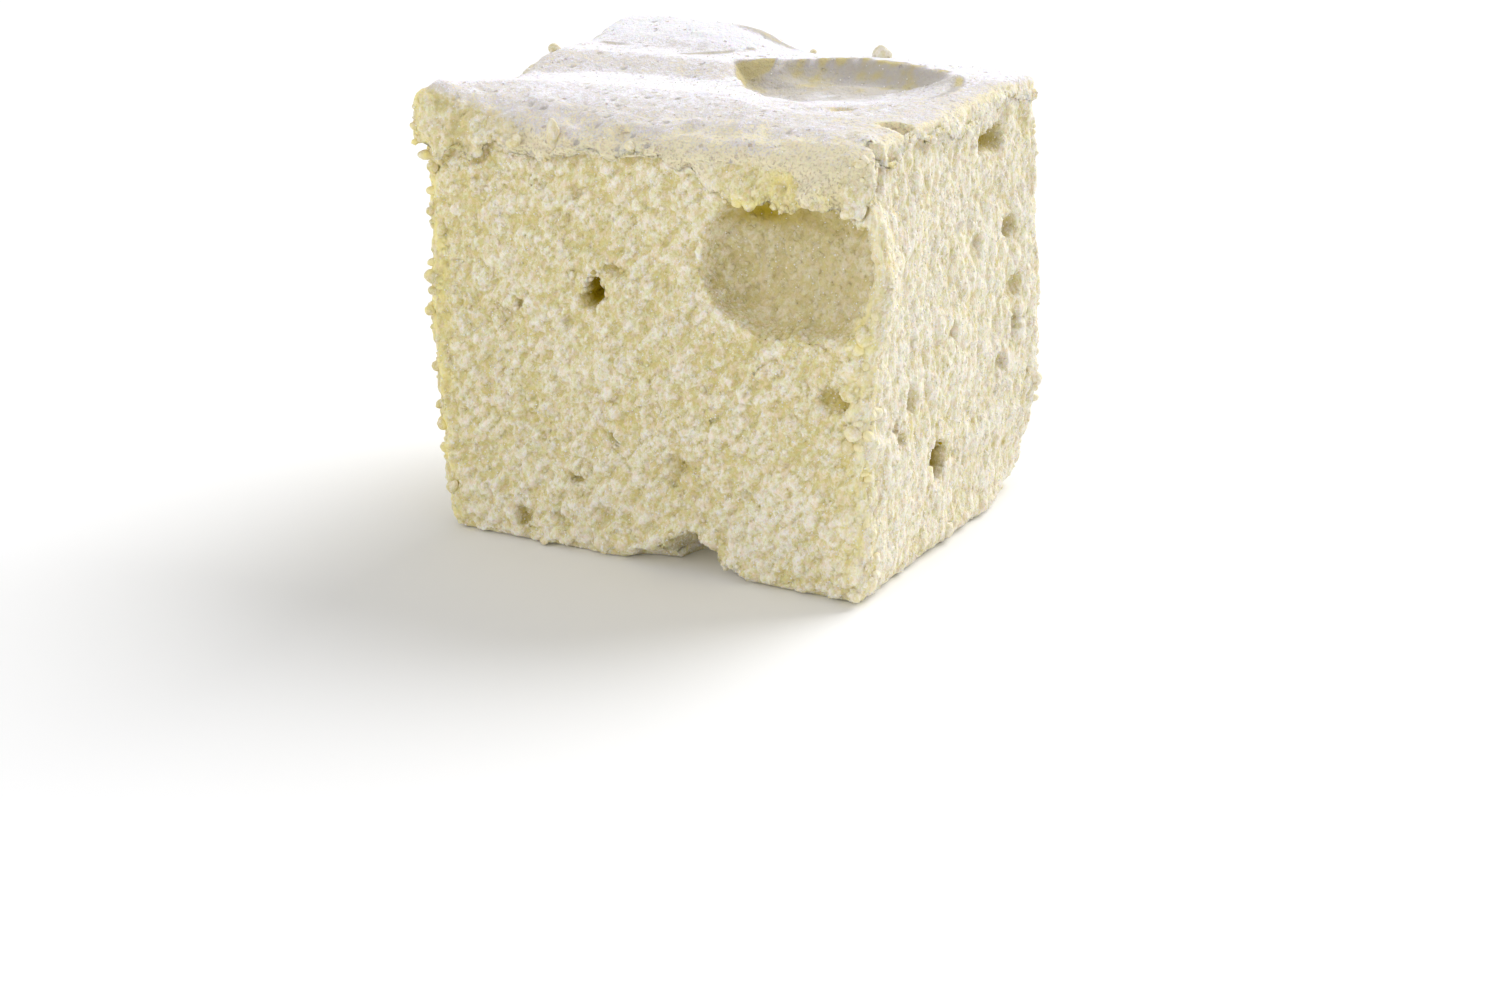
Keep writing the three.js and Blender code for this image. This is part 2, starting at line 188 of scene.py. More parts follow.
TORN_EDGE = dict(x=WIDTH / 2, y=-DEPTH / 2, z=16, wide=2.6, tall=5, reach=0.6)
DRAWN_IN = 1.6  # a bubble gathers the points within this many of its radii
DRAWN_RIM = 1.15  # and the points this far out come to its rim

# From the plan's middle: the front's upright edges, which take a painted glow, the four upright edges where
# nubs stand, the part of the top with many pricks, the pleated left end of the lip, a smooth place at the
# hollow's lower left, where crumb would fold over, and a slight spot of the top above the hollow, which takes
# a painted glow.
LEFT_EDGE, RIGHT_EDGE = (-18.7, -15.5), (19.3, -15.8)
CORNER_EDGES = [(x, y) for x in (-18.9, 18.9) for y in (-15.5, 15.5)]
PRICKED = dict(x=-6.5, y=-11.0, long=7.5, wide=4.5)
PLEATS = dict(from_x=-9.0, to_x=-12.5, rise=0.40)
CALMED = dict(x=9.3, z=20.4, reach=1.1)
THIN_TOP = dict(x=17.6, y=-11.8, wide=1.4, long=2.2, share=0.5)

# Torn nubs that stand out of the block: place in the block's own frame, and half sizes, in millimetres.
LEFT_NUBS = (
    ((-19.3, -15.2, 30.5), (0.75, 0.6, 0.40)),
    ((-18.5, -15.3, 29.9), (0.45, 0.4, 0.40)),
    ((-19.0, -15.2, 27.8), (0.45, 0.4, 0.30)),
    ((-19.2, -15.2, 26.2), (0.35, 0.4, 0.30)),
    ((-19.4, -15.0, 22.1), (0.40, 0.4, 0.35)),
    ((-19.2, -15.3, 18.3), (0.50, 0.5, 0.45)),
    ((-19.4, -15.0, 13.6), (0.40, 0.4, 0.40)),
    ((-19.3, -15.1, 8.6), (0.45, 0.4, 0.50)),
)
NUBS = (
    *LEFT_NUBS,
    ((-9.9, -16.6, 33.4), (0.35, 0.30, 0.50)),
    ((-19.8, 4.4, 35.5), (0.60, 0.50, 0.45)),
    ((-7.2, -16.7, 34.1), (0.50, 0.50, 1.15)),
    ((-0.5, -16.6, 34.0), (0.45, 0.30, 0.45)),
    ((-10.4, -16.6, 32.8), (0.60, 0.30, 0.35)),
    ((5.2, 15.3, 35.6), (0.75, 0.50, 0.80)),
    ((-1.1, 15.3, 35.0), (0.30, 0.25, 0.25)),
    ((19.2, 9.5, 32.6), (0.40, 0.40, 0.40)),
    ((19.0, -15.6, 20.9), (0.50, 0.45, 0.85)),
    ((18.6, -15.9, 14.0), (0.70, 0.50, 0.55)),
    ((17.8, -15.9, 12.6), (0.50, 0.45, 0.50)),
)
# Half width, least and most height of the part of a hidden face where small bubbles are strewn.
STREWN_PITS = {"back": (16.5, 3.0, 30.0), "left": (13.0, 3.0, 29.5)}

# Outward normal of each face, the directions of u and v on it, and its distance from the middle.
FACES = {
    "front": ((0, -1, 0), (1, 0, 0), (0, 0, 1), DEPTH / 2),
    "right": ((1, 0, 0), (0, 1, 0), (0, 0, 1), WIDTH / 2),
    "back": ((0, 1, 0), (-1, 0, 0), (0, 0, 1), DEPTH / 2),
    "left": ((-1, 0, 0), (0, -1, 0), (0, 0, 1), WIDTH / 2),
    "top": ((0, 0, 1), (1, 0, 0), (0, 1, 0), HEIGHT),
}


# ---- Arithmetic on whole arrays ----
def lerp(a, b, share):
    """a + (b - a) * share."""
    return a + (b - a) * share


def ramp(low, high, value):
    """3t^2 - 2t^3, where t is how far value is from low to high, held between 0 and 1."""
    t = np.clip((value - low) / (high - low), 0, 1)
    return t * t * (3 - 2 * t)


def bell(value, width, power=2):
    """exp(-|value / width|^power)."""
    return np.exp(-(np.abs(value / width) ** power))


def scrambled(i, j, k, seed):
    """A number from 0 to 1 for each whole-number place: products with large odd numbers, mixed in 32 bits."""
    mask = 0xFFFFFFFF
    n = (i * 374761393 + j * 668265263 + k * 1442695041 + seed * 974634777) & mask
    n = ((n ^ (n >> 13)) * 1274126177) & mask
    n = ((n ^ (n >> 16)) * 1103515245) & mask
    return ((n ^ (n >> 15)) & 0xFFFFFF) / 0xFFFFFF


def value_noise(points, size, seed):
    """Noise from -1 to 1 with features of that size: scrambled numbers at the corners of cubes, blended."""
    cell = points / size
    corner = np.floor(cell).astype(np.int64)
    share = cell - corner
    share = share * share * (3 - 2 * share)
    total = np.zeros(len(points))
    for dx in (0, 1):
        for dy in (0, 1):
            for dz in (0, 1):
                weight = np.ones(len(points))
                for axis, step in enumerate((dx, dy, dz)):
                    weight *= share[:, axis] if step else 1 - share[:, axis]
                here = corner + (dx, dy, dz)
                total += weight * scrambled(here[:, 0], here[:, 1], here[:, 2], seed)
    return 2 * total - 1


def fractal_noise(points, size, seed, octaves=3, gain=0.5):
    """Value noise at halving sizes, each gain times as strong, scaled to stay from -1 to 1."""
    total, strength, full = np.zeros(len(points)), 1.0, 0.0
    for octave in range(octaves):
        total += strength * value_noise(points, size / 2**octave, seed + octave)
        full += strength
        strength *= gain
    return total / full


def cell_distance(points, size, seed):
    """Distance to the nearest and to the second nearest of points strewn one to a cube, over the cube's size,
    and a number from 0 to 1 that belongs to the nearest."""
    cell = points / size
    corner = np.floor(cell).astype(np.int64)
    nearest = np.full(len(points), 9.0)
    second = np.full(len(points), 9.0)
    owner = np.zeros(len(points))
    for dx in (-1, 0, 1):
        for dy in (-1, 0, 1):
            for dz in (-1, 0, 1):
                here = corner + (dx, dy, dz)
                place = np.stack([scrambled(*here.T, seed + axis) for axis in range(3)], 1)
                away = np.linalg.norm(here + place - cell, axis=1)
                closer = away < nearest
                second = np.where(closer, nearest, np.minimum(second, away))
                owner = np.where(closer, scrambled(*here.T, seed + 3), owner)
                nearest = np.where(closer, away, nearest)
    return nearest, second, owner


# ---- The block ----
def box_lattice():
    """Points on the straight box and faces between them. A ring of points is carried up the sides in even
    rows. Below, the first row is drawn in ring by ring to a middle point, and above, an even grid fills the
    last row."""
    nx, ny = CELLS
    nz = sum(ROWS.values())
    across, along = np.linspace(-1, 1, nx + 1), np.linspace(-1, 1, ny + 1)
    ring = np.concatenate(
        [
            np.stack([across[:-1], np.full(nx, -1.0)], 1),
            np.stack([np.full(ny, 1.0), along[:-1]], 1),
            np.stack([across[:0:-1], np.full(nx, 1.0)], 1),
            np.stack([np.full(ny, -1.0), along[:0:-1]], 1),
        ]
    )
    count = len(ring)
    levels = [(inset, -HALF[2]) for inset in BASE_INSETS]
    levels += [(0.0, z) for z in np.linspace(-HALF[2], HALF[2], nz + 1)]
    rings = [np.column_stack([ring * (HALF[:2] - inset), np.full(count, z)]) for inset, z in levels]
    middle = np.array([[0.0, 0.0, -HALF[2]]])
    inner_x, inner_y = np.meshgrid(across[1:-1] * HALF[0], along[1:-1] * HALF[1])
    top = np.column_stack([inner_x.ravel(), inner_y.ravel(), np.full(inner_x.size, HALF[2])])
    points = np.concatenate([*rings, middle, top])

    step = np.arange(count)
    following = (step + 1) % count
    quads = []
    for level in range(len(levels) - 1):
        low, high = level * count, (level + 1) * count
        quads.append(np.stack([low + step, low + following, high + following, high + step], 1))
    last = (len(levels) - 1) * count
    grid = np.zeros((ny + 1, nx + 1), int)
    grid[1:-1, 1:-1] = last + count + 1 + np.arange((nx - 1) * (ny - 1)).reshape(ny - 1, nx - 1)
    grid[0, :] = last + np.arange(nx + 1)
    grid[:, nx] = last + nx + np.arange(ny + 1)
    grid[ny, ::-1] = last + nx + ny + np.arange(nx + 1)
    grid[::-1, 0] = last + (2 * nx + ny + np.arange(ny + 1)) % count
    quads.append(
        np.stack([grid[:-1, :-1], grid[:-1, 1:], grid[1:, 1:], grid[1:, :-1]], -1).reshape(-1, 4)
    )
    fan = np.stack([np.full(count, last + count), following, step], 1)
    return points, np.concatenate(quads), fan


def eased(knots, x):
    """The broken line through the knots (x, value) with its corners eased over a millimetre or two."""
    places, values = zip(*knots)
    return sum(np.interp(x + step, places, values) for step in (-1, -0.5, 0, 0.5, 1)) / 5


def higher(a, b, ease=0.25):
    """The larger of two, with the corner between them eased."""
    return (a + b + np.sqrt((a - b) ** 2 + ease**2)) / 2


def top_relief(x, y):
    """Height of the top above HEIGHT: the strokes and the hump, one lying on the other, less the scoop."""
    z = -VALLEY["drop"] * ramp(VALLEY["from_x"], VALLEY["to_x"], x)
    z = z - BACK_FALL * ramp(DEPTH / 4, DEPTH / 2, y)
    for number, stroke in enumerate(STROKES):
        behind = y - eased([(a, b) for a, b, _ in stroke["crest"]], x)
        tall = eased([(a, c) for a, _, c in stroke["crest"]], x)
        front = stroke["dome"] * (np.maximum(-behind, 0) / stroke["over"]) ** 1.4
        tile = tall - front - stroke["slope"] * np.maximum(behind, 0)
        if number:
            past = x - STROKE_END["x"] + STROKE_END["lean"] * (y - STROKE_END["y"])
            lifted = STROKE_END["drop"] * ramp(-STROKE_END["over"] / 2, STROKE_END["over"] / 2, past)
            tile = tile - lifted * ramp(STROKE_END["till"], STROKE_END["till"] - STROKE_END["fade"], y)
        z = higher(z, tile)
    hump = HUMP["top"] - HUMP["dome"] * ((y - HUMP["y"]) / HUMP["over"]) ** 2
    aside = x - HUMP["x"]
    ends = np.where(aside < 0, bell(aside, HUMP["left"], 2.5), bell(aside, HUMP["right"], 5))
    z = higher(z, hump - HUMP["ends"] * (1 - ends), 0.5)
    u, v, r = scoop_place(x, y)
    steepness = lerp(*SCOOP["steepness"], ramp(-0.5, 0.1, (0.5 * v - u) / np.maximum(r, 0.1)))
    bowl = np.maximum(0, 1 - r**steepness)
    z = z - SCOOP["depth"] * bowl * (1 + SCOOP["deeper_behind"] * v - SCOOP["deeper_left"] * u)
    near = np.clip(1 - (y + DEPTH / 2) / NOSE["r"], 0, 1)
    return z - NOSE["share"] * NOSE["r"] * (1 - np.sqrt(1 - near**2)) * ramp(-18, -11, x)


def line_distance(x, y, knots):
    """Distance to the broken line through the knots."""
    nearest = np.full(x.shape, 99.0)
    for (ax, ay), (bx, by) in zip(knots, knots[1:]):
        dx, dy = bx - ax, by - ay
        along = np.clip(((x - ax) * dx + (y - ay) * dy) / (dx * dx + dy * dy), 0, 1)
        nearest = np.minimum(nearest, np.hypot(x - ax - along * dx, y - ay - along * dy))
    return nearest


def top_shade(x, y):
    """Painted shade on the skin, from 0 to 1, where its hollows lie in shade: the scoop's wall and floor, the
    hump's right end, and the crack before the hump."""
    u, v, r = scoop_place(x, y)
    behind = ramp(-0.7, -0.1, (v - 0.3 * u) / np.maximum(r, 0.1))
    place = np.stack([x, 0.3 * y, np.zeros_like(x)], 1)
    flutes = 0.6 + 0.9 * value_noise(place, 0.7, 18)
    wall = (0.5 * ramp(0.8, 0.93, r) + 0.5 * ramp(0.9, 0.97, r)) * (1 - ramp(1.0, 1.03, r))
    wall = wall * behind * (1 - 0.35 * ramp(-0.3, 0.8, u)) * flutes
    flat_place = np.stack([x, y, np.zeros_like(x)], 1)
    mottle = 0.8 + 0.25 * value_noise(flat_place, 1.3, 20) + 0.25 * (flutes - 0.6)
    floor = 0.58 * (1 - ramp(0.9, 1.0, r)) * ramp(0.8, -0.7, 0.7 * u - 0.9 * v) * mottle
    end = np.hypot((x - CRESCENT_SHADE["x"]) / CRESCENT_SHADE["long"], (y - CRESCENT_SHADE["y"]) / CRESCENT_SHADE["wide"])
    crescent = 0.65 * bell(end, 1)
    crack = 0.6 * bell(line_distance(x, y, CRACK_SHADE), 0.26) * ramp(-0.5, 0.3, value_noise(place, 1.1, 19))
    return np.maximum(np.maximum(wall, floor), np.maximum(crescent, crack))


def scoop_place(x, y):
    """The place in the scoop along its length and its width, each from -1 to 1, and how far out it is:
    (|u|^square + |v|^square)^(1/square), which is 1 on the rim."""
    dx, dy = x - SCOOP["x"], y - SCOOP["y"]
    cos, sin = math.cos(SCOOP["turn"]), math.sin(SCOOP["turn"])
    along = dx * cos + dy * sin
    u = along / np.where(along < 0, SCOOP["left"], SCOOP["right"])
    v = (dy * cos - dx * sin) / SCOOP["wide"] + SCOOP["tip_aside"] * np.maximum(-u, 0)
    square = lerp(SCOOP["tip_square"], SCOOP["square"], ramp(-1.0, -0.1, u))
    return u, v, (np.abs(u) ** square + np.abs(v) ** square) ** (1 / square)


def flap_share(x, front):
    """How much of the flap there is at x, where front is 1 on the front face."""
    return front * ramp(FLAP["from_x"], FLAP["from_x"] + FLAP["width"], x)


def tier_share(x, y, z, front):
    """How much of a place is the flap's lower tier of broken foam."""
    place = np.stack([x, y, z], 1)
    line = TIER["z"] + 0.4 * value_noise(place, 1.8, 15) + 0.25 * value_noise(place, 0.8, 16)
    line = line - TIER["fall"] * ramp(TIER["from_x"], TIER["to_x"], x)
    return flap_share(x, front) * (1 - ramp(line - 0.15, line + 0.25, z))


def lip_edge(x, y, front):
    """Height of the lip's lower edge: a slow climb, two waves and the flap's drop, with a ragged line."""
    wave = np.sin(0.9 * x + 0.4 * y) + 0.6 * np.sin(2.1 * x - 1.3 * y + 1)
    place = np.stack([x, y, np.zeros_like(x)], 1)
    ragged = 0.38 * value_noise(place, 2.3, 11) + 0.24 * value_noise(place, 0.9, 12)
    return LIP["z"] + LIP["climb"] * x + LIP["wave"] * wave - FLAP["drop"] * flap_share(x, front) + ragged


def lip_reach(x, y, front, share):
    """How far the lip stands out: less to the right, more at the flap, and fullest part of the way up."""
    plain = np.maximum(LIP["least_reach"], LIP["reach"] - LIP["reach_fall"] * x)
    round_part = LIP["bulge"] * bell(share - LIP["bulge_at"], LIP["bulge_spread"])
    place = np.stack([x, y, 1.6 * share], 1)
    uneven = 1 + 0.35 * value_noise(place, 2.3, 13) + 0.3 * value_noise(place, 1.0, 17) * (1 - share)
    return lerp(plain, FLAP["reach"], flap_share(x, front)) * (1 - LIP["bulge"] + round_part) * uneven


def hollow_radius(x, z):
    """Distance from the middle of the large open bubble, 1 on its uneven rim."""
    u = (x - HOLLOW["u"]) / (HOLLOW["wide"] / 2)
    v = (z - HOLLOW["v"]) / (HOLLOW["tall"] / 2)
    r = (np.abs(u) ** 3 + np.abs(v) ** 3) ** (1 / 3)
    turn = np.arctan2(v, u)
    place = np.stack([x, np.zeros_like(x), z], 1)
    waves = 0.03 * np.sin(5 * turn + 1) + 0.02 * np.sin(11 * turn)
    return r * (1 + waves + 0.035 * value_noise(place, 1.3, 14))


def hollow_depth(r):
    """Depth of the large open bubble: depth * (1 - r^square)^(1/2)."""
    return HOLLOW["depth"] * np.sqrt(np.maximum(0, 1 - r ** HOLLOW["square"]))


def swell(x, y, z, way):
    """Bulge of the cut faces: each side's belly, and slow waves that die out at the table."""
    belly_x = np.where(way[:, 0] < 0, BELLY["left"], BELLY["right"])
    belly_y = np.where(way[:, 1] < 0, BELLY["front"], BELLY["back"])
    belly = belly_x * np.abs(way[:, 0]) + belly_y * np.abs(way[:, 1])
    waves = np.sin(0.21 * x + 0.13 * z + 0.5) * np.cos(0.19 * y - 0.16 * z)
    waves = waves + 0.6 * np.sin(0.37 * z + 0.29 * x - 0.33 * y + 2)
    return belly * np.sin(np.pi * z / HEIGHT) + SWELL * waves * ramp(0, 3, z)


def torn(x, y, z):
    """Foam that stands out along the front right edge."""
    near = bell(np.hypot(x - TORN_EDGE["x"], y - TORN_EDGE["y"]), TORN_EDGE["wide"])
    tall = bell(z - TORN_EDGE["z"], TORN_EDGE["tall"])
    return TORN_EDGE["reach"] * near * tall * (0.6 + 0.4 * np.sin(1.2 * z))


def corner_shift(x, y, z):
    """Bilinear shift of the corners across the plan, and linear from the bottom to the top."""
    s, t, w = x / WIDTH + 0.5, y / DEPTH + 0.5, z / HEIGHT
    shift = []
    for axis in (0, 1):
        at = {name: lerp(low[axis], high[axis], w) for name, (low, high) in CORNER_SHIFT.items()}
        front = lerp(at["front_left"], at["front_right"], s)
        shift.append(lerp(front, lerp(at["back_left"], at["back_right"], s), t))
    return shift


def opened(points, way, bubble, rng):
    """Sinks an open bubble into its face and returns how deep each point then lies in it, from 0 to 1.
    Points round it are first drawn in, so that the walls get more of them, and inside the rim they go to
    depth * (1 - r^2)^(1/2) below the face."""
    face, u0, v0, wide, tall, depth = bubble
    normal, right, up, stand = (np.array(part, float) for part in FACES[face])
    u, v, out = points @ right - u0, points @ up - v0, points @ normal - stand
    a, b = u / (wide / 2), v / (tall / 2)
    turn = np.arctan2(b, a)
    waves = rng.uniform(0, 2 * np.pi, 3)
    rim = 1 + 0.12 * np.sin(2 * turn + waves[0]) + 0.09 * np.sin(3 * turn + waves[1])
    rim = rim + 0.05 * np.sin(7 * turn + waves[2])
    r = np.hypot(a, b) / rim
    chosen = (r < DRAWN_IN) & (way @ normal > 0.25) & (out > -3.5)
    drawn = np.interp(r, [0, DRAWN_RIM, DRAWN_IN], [0, 1, DRAWN_IN])
    scale = np.where(r > 1e-6, drawn / np.maximum(r, 1e-6), 1 / DRAWN_RIM)
    floor = -depth * np.sqrt(np.maximum(0, 1 - drawn**2))
    new_out = np.where(drawn < 1, np.minimum(out, floor + np.minimum(out, 0)), out)
    move = (u * (scale - 1))[:, None] * right + (v * (scale - 1))[:, None] * up
    move = move + (new_out - out)[:, None] * normal
    points[chosen] += move[chosen]
    return np.where(chosen, np.clip((out - new_out - 0.25) / 1.4, 0, 1), 0)


def block_form(flat, bubbles, rng):
    """Takes the straight box's points to the block. Its edges are rounded, the sides swell and take the lip
    and the hollow, the corners shift, the top takes its relief, and the bubbles are sunk in. Gives the points
    and what the looks need of each: the way it faced on the straight box, how far up the lip it lies, how much
    it belongs to the lip, to the hollow, to the flap's lower tier and to the ridge, and how deep it lies in a
    bubble, which is used as painted shade and holds a painted shadow under the flap at the top of the hollow."""
    core = np.clip(flat, EDGE_ROUND - HALF, HALF - EDGE_ROUND)
    way = flat - core
    way /= np.linalg.norm(way, axis=1, keepdims=True)
    box = core + EDGE_ROUND * way
    x, y = box[:, 0], box[:, 1]
    level = box[:, 2] + HALF[2]
    front = np.maximum(0, -way[:, 1]) / np.maximum(1e-6, np.hypot(way[:, 0], way[:, 1]))
    edge = lip_edge(x, y, front)
    rows = sum(ROWS.values())
    under = HEIGHT * ROWS["below"] / rows
    over = HEIGHT * (ROWS["below"] + ROWS["under"]) / rows
    turn = np.clip((level - under) / (over - under), 0, 1)
    lip_out = lip_reach(x, y, front, np.clip((level - over) / (HEIGHT - over), 0, 1))
    plane = way[:, 1] < -0.3
    r = hollow_radius(x, np.minimum(level * edge / under, edge))
    sunk = np.where(plane, hollow_depth(r), 0)
    cave = sunk / HOLLOW["depth"]
    arch = lerp(LIP["arch"], FLAP["arch"], cave)
    z = np.where(
        level <= under,
        level * edge / under,
        np.where(
            level >= over,
            lerp(edge + LIP["step"], HEIGHT, (level - over) / (HEIGHT - over)),
            edge + LIP["step"] * turn + arch * np.sin(np.pi * turn),
        ),
    )
    lip = level > under
    share = np.where(lip, np.clip((z - edge) / (HEIGHT - edge), 0, 1), 0)
    lip_turn = (1 - np.cos(np.pi * turn)) / 2
    raised = z + top_relief(x, y) * ramp(0, 1, share)
    tier = tier_share(x, y, raised, front)
    out = np.where(lip, lerp(-sunk, lip_out - TIER["back"] * tier, lip_turn), -sunk)
    ridge = bell(r - RIDGE["r"], RIDGE["wide"]) * ramp(RIDGE["from_x"], RIDGE["to_x"], x)
    ridge = ridge * (z < edge) * bell(y + DEPTH / 2, RIDGE["behind"])
    out = out + swell(x, y, z, way) + torn(x, y, z) + RIDGE["rise"] * ridge
    shift_x, shift_y = corner_shift(x, y, z)
    beside = np.hypot(np.minimum(x - WIDTH / 2, 0) / THIN_WALL["wide"], (y + DEPTH / 2) / THIN_WALL["wide"])
    swollen = THIN_WALL["reach"] * bell(z - THIN_WALL["z"], THIN_WALL["tall"])
    swollen = swollen * bell(beside, 1) * (1 - lip_turn)
    points = np.stack([x + out * way[:, 0] + shift_x + swollen, y + out * way[:, 1] + shift_y, raised], 1)
    # Distance from the worn corner at the back right of the base.
    wear_and_shade = np.linalg.norm(points - (WIDTH / 2, DEPTH / 2, 0), axis=1)
    near = WORN_CORNER["pull"] * (1 - ramp(0, WORN_CORNER["reach"], wear_and_shade))
    inwards = np.tile(WORN_CORNER["inwards"], (len(points), 1))
    inwards[z < 0.01, 2] = 0
    points += inwards * near[:, None]

    for arch_part in ARCH:
        square = arch_part["square"]
        u = np.abs((points[:, 0] - arch_part["u"]) / (arch_part["wide"] / 2))
        v = np.abs((points[:, 2] - arch_part["v"]) / (arch_part["tall"] / 2))
        inside = np.maximum(0, 1 - u**square - v**square) ** (1 / square)
        behind = points[:, 1] + DEPTH / 2
        push = arch_part["depth"] * inside * np.clip(1 - behind / ARCH_FADE, 0, 1)
        points[:, 1] += np.where(points[:, 1] < 0, push, 0)

    across, up = points[:, 1] - CREASE["y"], points[:, 2] - CREASE["z"]
    crease = np.hypot(across / (CREASE["wide"] / 2), up / (CREASE["tall"] / 2))
    points[:, 0] -= np.where(way[:, 0] > 0.25, CREASE["depth"] * np.sqrt(np.maximum(0, 1 - crease**2)), 0)

    # Painted shadow under the flap: the top of the large hollow is painted darker, less towards its right, and
    # this joins the bubbles' painted shade.
    shade = 0.15 + 0.65 * ramp(27.2, 28.8, z) * (1 - 0.7 * ramp(9, 14, x))
    pore_shade = shade * cave * np.where(lip, 1 - lip_turn, 1)
    for bubble in bubbles:
        pore_shade = np.maximum(pore_shade, opened(points, way, bubble, rng))
    lipped = np.where(lip, lip_turn, 0)
    return points, dict(
        way=way, share=share * lip, lipped=lipped, pore_shade=pore_shade, cave=cave, tier=tier * lipped, ridge=ridge
    )


def point_normals(points, quads, fan):
    """Sum of the areas' normals round each point, made one long."""
    normals = np.zeros_like(points)
    for faces in (quads, fan):
        a, b, c = points[faces[:, 0]], points[faces[:, 1]], points[faces[:, 2]]
        if faces.shape[1] == 4:
            area = np.cross(c - a, points[faces[:, 3]] - b)
        else:
            area = np.cross(b - a, c - a)
        for corner in range(faces.shape[1]):
            for axis in range(3):
                normals[:, axis] += np.bincount(faces[:, corner], area[:, axis], len(points))
    return normals / np.maximum(np.linalg.norm(normals, axis=1, keepdims=True), 1e-12)


def crumb_relief(points, way):
    """Height of the cut foam's crumb: packed round lumps of two sizes, some of them torn out. They are drawn
    out along the knife's way, which is aslant on the front and back and upright on the sides."""
    x, y, z = points.T
    aslant = np.stack([0.8 * (x - z), y, 0.5 * (x + z)], 1)
    upright = points * (1, 1.1, 0.55)
    sideways = ramp(0.35, 0.65, np.abs(way[:, 0]))
    relief = np.zeros(len(points))
    for place, weight in ((aslant, 1 - sideways), (upright, sideways)):
        for size, rise, seed in ((1.15, 0.26, 31), (0.68, 0.16, 41)):
            nearest, second, owner = cell_distance(place, size, seed)
            dome = 1 - (nearest / 0.75) ** 2 - 0.5 * np.maximum(0, 1 - (second - nearest) / 0.2)
            relief += weight * rise * np.where(owner > 0.82, -0.9 * np.maximum(0, dome), dome)
    relief *= 1 - 0.35 * sideways
    edge = bell(np.hypot(x - 19.2, y + 15.8), 1.7) * ramp(6, 11, z)
    relief += 0.12 * value_noise(points, 2.4, 51) - 0.12
    return relief + 0.45 * edge * value_noise(points * (1, 1, 0.7), 1.5, 53)


def skin_relief(points, pricked, shade):
    """Height of the skin's grain, and how much of a point is a prick where a bubble broke: slow swells, fine
    grain, the drawn lines of the spatula, flutes down the hollow walls, and the pricks."""
    nearest, _, owner = cell_distance(points * (1, 1, 0.6), 1.05, 61)
    pricks = np.maximum(0, 1 - (nearest / 0.27) ** 2) * (owner > 0.8 - 0.5 * pricked)
    drawn = value_noise(points * (0.2, 1, 1), 0.55, 64)
    flutes = value_noise(points * (1, 0.3, 0.3), 0.6, 65) * shade
    grain = 0.10 * value_noise(points, 2.6, 62) + 0.07 * value_noise(points, 0.9, 63)
    return grain + 0.04 * drawn + 0.12 * flutes - 0.16 * pricks, pricks


def facing(way):
    """How much of each point's sideways look goes to the front, and to the right, from 0 to 1."""
    flatness = np.maximum(np.hypot(way[:, 0], way[:, 1]), 1e-6)
    return np.clip(-way[:, 1] / flatness, 0, 1), np.clip(way[:, 0] / flatness, 0, 1)


def spots(x, z, places):
    """Sum of soft spots on the front."""
    return sum(
        bell(np.hypot((x - across) / wide, (z - height) / tall), 1) * strength
        for across, height, wide, tall, strength in places
    )


def skin_cover(points, form, front):
    """How much of each point is spread skin, and how much is the pleated left end of the lip. The skin lies
    on the top and over the lip at the front with a patchy edge, and not on the flap's lower tier."""
    x, upward, share = points[:, 0], form["way"][:, 2], form["share"]
    patchy = fractal_noise(points, 3.0, 71)
    on_top = ramp(0.5, 0.95, share + 0.2 * patchy)
    pleated = front * ramp(PLEATS["from_x"], PLEATS["to_x"], x + 1.5 * patchy) * ramp(0.95, 0.6, upward)
    on_lip = form["lipped"] * ramp(0.5, 0.9, front) * ramp(WIDTH / 2, WIDTH / 2 - 1.4, x)
    on_lip *= 1 - 0.6 * ramp(0.45, 0.1, share) * ramp(-0.4, 0.4, value_noise(points, 1.4, 77))
    return np.maximum(on_top, on_lip) * (1 - form["tier"]) * (1 - 0.85 * pleated), pleated


def fine_height(points, form, front, skin, pleated, shade, strength):
    """How far each point is raised along its normal: crumb on the cut faces, and on the skin grain, lumps and
    dents along the lip, and pleats at its left end. Then how much of a point is a prick, and how free it is
    to be raised: not at all on the flat base, and little at the calmed place."""
    x, y, z = points.T
    way, share, lipped, cave = (form[key] for key in ("way", "share", "lipped", "cave"))
    pricked = bell(x - PRICKED["x"], PRICKED["long"], 4) * bell(y - PRICKED["y"], PRICKED["wide"], 4)
    smooth, pricks = skin_relief(points, pricked, shade)
    lumps = 0.52 * value_noise(points, 1.3, 75) + 0.26 * value_noise(points, 0.65, 76)
    lumps = lumps + 0.42 * value_noise(points, 2.4, 78)
    turning = 0.6 * ramp(-9.5, -14, y) * ramp(0.5, 0.9, way[:, 2])
    on_roll = np.maximum(lipped * front * ramp(0.95, 0.4, share), turning)
    smooth = smooth + on_roll * lumps - spots(x, z, DENTS) * lipped * front
    crumb = crumb_relief(points, way) * strength
    crumb = crumb * (1.15 - 0.2 * cave - 0.5 * ramp(0, 0.1, cave) * ramp(0.7, 0.4, cave))
    pleats = PLEATS["rise"] * value_noise(np.stack([x + 0.25 * z, y, 0.3 * z], 1), 0.9, 72) * pleated
    calmed = bell(np.hypot(x - CALMED["x"], z - CALMED["z"]), CALMED["reach"], 4)
    base = ramp(0.0, 0.6, z) * (1 - front * calmed)
    return lerp(crumb + pleats * lipped, smooth, skin) * base, pricks, base


